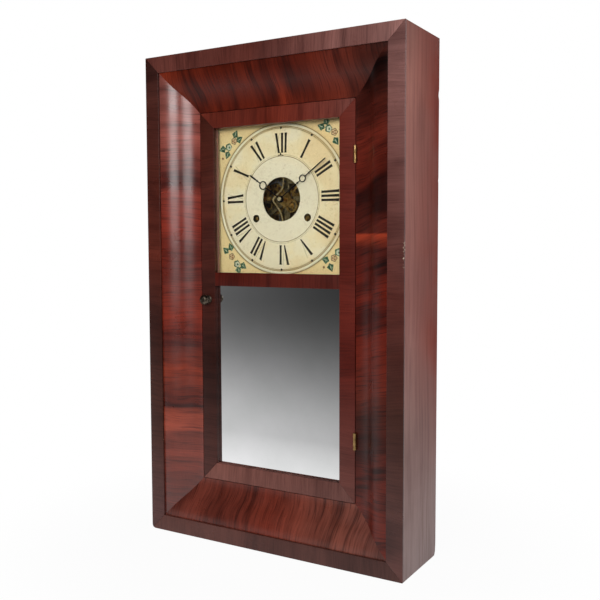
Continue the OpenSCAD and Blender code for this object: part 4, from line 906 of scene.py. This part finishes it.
class CLOCK_OT_dial(bpy.types.Operator):
    """Dial sheet with its painted numerals, circles, dots and corner sprigs"""

    bl_idname = "ogee_clock.dial"
    bl_label = "Dial"

    def execute(self, context):
        look = context.scene.ogee_clock.dial
        dress(dial_paint(look), "dial")
        # The ring is the dial's foremost place, and the paint lies on the sheet behind it.
        depth = DIAL_D[0] + RING_RISE - PAINT_PROUD
        thick, thin = self.numerals(look, depth)
        ink = paint("worn_black_dial_ink", look.ink, "#57503f", 0.62)
        thick.piece("hour_numerals", "case", "dial_paint", ink)
        thin.piece("numeral_hairlines", "case", "dial_paint", paint("rubbed_thin_ink", "#9d8c66", "#c8b88c"))
        self.circles(look, depth)
        self.sprigs(look, depth)
        return {"FINISHED"}

    def numerals(self, look, depth):
        """Roman hours with their feet towards the middle; thin strokes are nearly rubbed away."""
        foot, top = mm(look.numeral_foot), mm(look.numeral_top)
        stroke, hair, gap = mm(look.stroke), mm(look.thin), mm(look.gap)
        thick, thin = Shape(), Shape()
        # Each stroke of a letter: its foot and its top beside the letter's middle in mm, and how wide a
        # thick stroke's foot is as a share of its top, or 0 for a thin stroke
        strokes = {"I": ((0, 0, 1),), "V": ((0.9, -3.7, 0.55), (0.9, 3.7, 0)),
                   "X": ((1.8, -1.8, 1), (-3.2, 3.2, 0))}

        def place(u, v, turn):
            # u runs clockwise across the numeral and v outwards; strokes fan out slightly.
            fan = 1 + 0.1 * (v - foot) / (top - foot)
            a = math.radians(turn)
            return (v * math.sin(a) + u * fan * math.cos(a), DIAL_Z + v * math.cos(a) - u * fan * math.sin(a))

        def bar(u0, u1, foot_share, turn):
            # A brush stroke swells towards its ends.
            shape, width = (thick, stroke) if foot_share else (thin, hair)
            narrow = foot_share or 1
            left, right = [], []
            for share, swell in ((0.0, 1.15), (0.08, 0.95), (0.5, 0.9), (0.92, 1.0), (1.0, 1.2)):
                u, v = u0 + (u1 - u0) * share, foot + (top - foot) * share
                half = width / 2 * swell * (narrow + (1 - narrow) * min(1, share * 2))
                left.append(place(u - half, v, turn))
                right.append(place(u + half, v, turn))
            shape.mark(left + right[::-1], depth)

        wide = {"I": gap, "V": gap * 1.65, "X": gap * 1.6}
        for hour, text in enumerate(NUMERALS, 1):
            turn = hour * 30
            u = NUMERAL_SHIFT.get(hour, 0) - sum(wide[c] for c in text) / 2
            for c in text:
                mid = u + wide[c] / 2
                for start, end, foot_share in strokes[c]:
                    bar(mid + start, mid + end, foot_share, turn)
                u += wide[c]
        return thick, thin

    def circles(self, look, depth):
        """Fine brown lines round the middle and beside the raised ring, and the hour dots."""
        lines, dots, middle = Shape(), Shape(), (0, DIAL_Z)
        chapter, dot_circle, ring = mm(look.chapter), mm(look.dots), mm(look.ring)
        back = depth + PAINT_THICK
        for r, w in ((chapter, 0.7), (chapter + 1.9, 0.3), (dot_circle, 0.6), (ring - 2.4, 0.6),
                     (ring + 2.3, 0.8)):
            small, large = r - w / 2, r + w / 2
            lines.lathe([(small, depth), (large, depth), (large, back), (small, back)], middle, 144, True)
        brown = paint("brown_dial_lines", "#6b5630", "#a8905c", 0.54)
        lines.piece("dial_circles", "case", "dial_paint", brown)
        for hour in range(12):
            spot = polar(dot_circle, hour * 30, middle)
            dots.mark([polar(1.4 if k % 2 else 1.9, k * 45, spot) for k in range(8)], depth - COAT)
        # The ornament was painted a little to the left of the middle.
        dots.mark([(x - 0.7, DIAL_Z + chapter + z) for x, z in ORNAMENT], depth - COAT)
        dots.piece("hour_dots", "case", "dial_paint", paint("black_dot_ink", look.ink, "#4a4234", 0.6))

    def sprigs(self, look, depth):
        """A sprig in each corner of the dial: leaves at both ends, and a rose and a bud between them."""
        leaves, rims, roses, buds, hearts = Shape(), Shape(), Shape(), Shape(), Shape()

        def disc(shape, x, z, r, coats, wobble=0.1, n=20):
            """A wavy disc over some coats of paint."""
            outline = []
            for k, turn in enumerate(circle(n)):
                wavy = r * (1 + wobble * math.sin(5 * turn))
                outline.append(polar(wavy, 360 * k / n, (x, DIAL_Z + z)))
            shape.mark(outline, depth - coats * COAT)

        for marks in SPRIGS:
            middle = [sum(mark[i] for mark in marks) / len(marks) for i in (1, 2)]
            for kind, x, z in marks:
                if kind == "leaf":
                    # Each leaf points away from the middle of its sprig.
                    a = math.atan2(x - middle[0], z - middle[1])
                    c, s = LEAF_SIZE * math.cos(a), LEAF_SIZE * math.sin(a)
                    for shape, form, lift in ((leaves, LEAF, 0), (buds, VEIN, COAT)):
                        turned = [(x + u * c + v * s, DIAL_Z + z + v * c - u * s) for u, v in form]
                        shape.mark(turned, depth - lift)
                elif kind == "rose":
                    disc(rims, x, z, 4.6, 1)
                    disc(roses, x, z, 3.8, 2)
                    for turn in (30, 150, 270):
                        disc(hearts, *polar(2.0, turn, (x, z)), 1.2, 3, 0.2, 10)
                elif kind == "bud":
                    disc(leaves, x, z, 5.0, 1)
                    disc(buds, x + 0.8, z - 0.4, 3.6, 2)
                    disc(leaves, x + 1.2, z - 0.6, 1.5, 3, 0.2, 10)
                else:
                    disc(hearts if kind == "seed" else leaves, x, z, 1.7, 2, 0.2, 10)
        for name, shape, finish in (
            ("sprig_leaves", leaves, paint("green_leaf_paint", look.leaf, "#86a07e", 0.5, 600)),
            ("sprig_outlines", rims, paint("brown_outline_paint", "#4a3a22", "#86724a", 0.55, 500)),
            ("sprig_roses", roses, paint("rose_paint", look.rose, "#dcc79e", 0.5, 420)),
            ("sprig_hearts", hearts, paint("rose_heart_paint", "#87623f", "#b08a5e", 0.5, 420)),
            ("sprig_buds", buds, paint("grey_bud_paint", "#c6c9ae", "#dcd8b8", 0.5, 420)),
        ):
            shape.piece(name, "case", "dial_paint", finish)


class CLOCK_OT_works(bpy.types.Operator):
    """Movement, hands, pendulum and gong"""

    bl_idname = "ogee_clock.works"
    bl_label = "Movement"

    def execute(self, context):
        look = context.scene.ogee_clock.metal
        for name, tone, spots, roughness, duller, scale, nodes in (
            # Blued steel, cut from sheet: nearly black, with a soft sheen
            ("blued_sheet_steel", look.blued, "#2c2622", 0.38, 0.15, 120, "minute_hand hour_hand"),
            # Stamped wheel brass, with brown spots of age
            ("stamped_wheel_brass", look.brass, "#6a5026", 0.3, 0.2, 110,
             "time_main_wheel second_arbor third_arbor escape_wheel centre_wheel minute_arbor minute_wheel "
             "hour_wheel strike_main_wheel pin_wheel strike_third_arbor fly count_wheel time_drum "
             "strike_drum front_studs"),
            # Rolled brass straps under a dull grey-brown film
            ("rolled_plate_brass", look.plate, "#3a3226", 0.36, 0.2, 60, "plate_front plate_back"),
            # Grey wire and rods with a brown bloom of old oil
            ("drawn_steel_wire", look.steel, "#5c534a", 0.35, 0.2, 150, "pillars count_lever hammer verge"),
            # A pale, handled rod that catches the light behind the dial's opening
            ("drawn_brass_rod", "#e2cc98", "#9a7e48", 0.32, 0.2, 150, "pendulum_rod"),
            # Thin pressed brass, golden with brown finger marks
            ("pressed_brass_bob", "#b8954e", "#84632e", 0.28, 0.2, 90, "pendulum_bob"),
            # Hardened wire, nearly black
            ("blued_gong_wire", "#4d4a48", "#3a322c", 0.4, 0.2, 120, "gong"),
        ):
            dress(metal(name, tone, spots, roughness, duller, scale), *nodes.split())
        # Turned brass, rubbed pale by use
        bright = metal("rubbed_turned_brass", "#f2e6c6", "#c8b27c", 0.4, 0.15, 300)
        hand = span("minute_hand")[1][0]
        nut = Shape()
        nut.lathe([(0.4, hand - 2.2), (1.5, hand - 2.1), (2.4, hand - 1.5), (2.8, hand - 0.7), (2.8, hand)],
                  (0, DIAL_Z), 32)
        nut.piece("hand_nut", "minute_work", "clock_brass", bright)
        return {"FINISHED"}


# Length of cord in which one strand turns to its neighbour's place, in mm
CORD_LAY = 6


class CLOCK_OT_weights(bpy.types.Operator):
    """Weights, cords, pulleys and their covers"""

    bl_idname = "ogee_clock.weights"
    bl_label = "Weights and cords"

    def execute(self, context):
        look = context.scene.ogee_clock.metal
        # Cast iron with the sand's grit in its skin and a little rust
        iron = metal("sand_cast_iron", look.iron, "#4c3a2e", 0.55, 0.2, 70, 0.4)
        dress(iron, "time_weight", "strike_weight")
        # Tinplate gone dull grey
        tin = metal("dull_tinplate", look.tin, "#6b665e", 0.42, 0.2, 60)
        dress(tin, "pulley_fittings")
        dress(plain_board("turned_birch_pulley", "#a98a5e", "X", 0.4, 0.55), "pulley_left", "pulley_right")
        cord = self.cord_finish()
        dress(cord, "cord_runs")
        for side, joint in (("time", "time_weight_lift"), ("strike", "strike_weight_lift")):
            made = self.drop(side, cord)
            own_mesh(made)
        return {"FINISHED"}

    def cord_finish(self):
        """Twisted cotton cord, grey with handling: its yarns show as light and dark 1.5 mm apart."""
        f = Finish("twisted_cotton_cord", Roughness=0.9)
        yarns = f.add("TexWave", {"Vector": f.place, "Scale": 200, "Distortion": 2, "Detail": 2},
                      bands_direction="DIAGONAL").outputs["Fac"]
        return f.give(Base_Color=f.tones(yarns, [(0.2, "#9c9070"), (0.8, "#d8ceb0")]),
                      Normal=f.relief(yarns, 0.5, 0.0003))

    def drop(self, side, finish):
        """A laid cord of three strands between a weight and its pulley."""
        (x0, x1), (d0, d1), (z0, z1) = span(side + "_cord_drop")
        x, d, r = (x0 + x1) / 2, (d0 + d1) / 2, (x1 - x0) / 2
        steps = 240
        rings = []
        for j in range(steps + 1):
            z = z0 + (z1 - z0) * j / steps
            widths = [(a, r * (0.9 + 0.1 * math.cos(3 * a + z * 2 * math.pi / CORD_LAY))) for a in circle(12)]
            rings.append([(x + w * math.cos(a), d + w * math.sin(a), z) for a, w in widths])
        shape = Shape()
        shape.skin(rings)
        return shape.piece(side + "_cord_laid", "case", "cotton_cord", finish, (side + "_cord_drop",),
                           angle=180)


# Panel and registration

OPERATORS = (CLOCK_OT_stage, CLOCK_OT_case, CLOCK_OT_bands, CLOCK_OT_ogee, CLOCK_OT_door, CLOCK_OT_glass,
             CLOCK_OT_fittings, CLOCK_OT_dial, CLOCK_OT_works, CLOCK_OT_weights)


class CLOCK_PT_panel(bpy.types.Panel):
    """Lists the clock's groups of pieces, the stage, and their sizes and colours"""

    bl_idname = "CLOCK_PT_panel"
    bl_label = "Ogee mantel clock"
    bl_space_type = "VIEW_3D"
    bl_region_type = "UI"
    bl_category = "Ogee clock"

    def draw(self, context):
        for operator in OPERATORS:
            self.layout.operator(operator.bl_idname)
        look = context.scene.ogee_clock
        for group in (look.case, look.door, look.dial, look.metal, look.stage):
            box = self.layout.box()
            for key in group.__annotations__:
                box.prop(group, key)


CLASSES = (CaseLook, DoorLook, DialLook, MetalLook, StageLook, ClockLook, *OPERATORS, CLOCK_PT_panel)


def register():
    for cls in CLASSES:
        bpy.utils.register_class(cls)
    bpy.types.Scene.ogee_clock = PointerProperty(type=ClockLook)


def unregister():
    del bpy.types.Scene.ogee_clock
    for cls in reversed(CLASSES):
        bpy.utils.unregister_class(cls)


def main():
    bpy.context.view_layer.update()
    register()
    for operator in OPERATORS:
        group, name = operator.bl_idname.split(".")
        getattr(getattr(bpy.ops, group), name)()


if __name__ == "__main__":
    main()
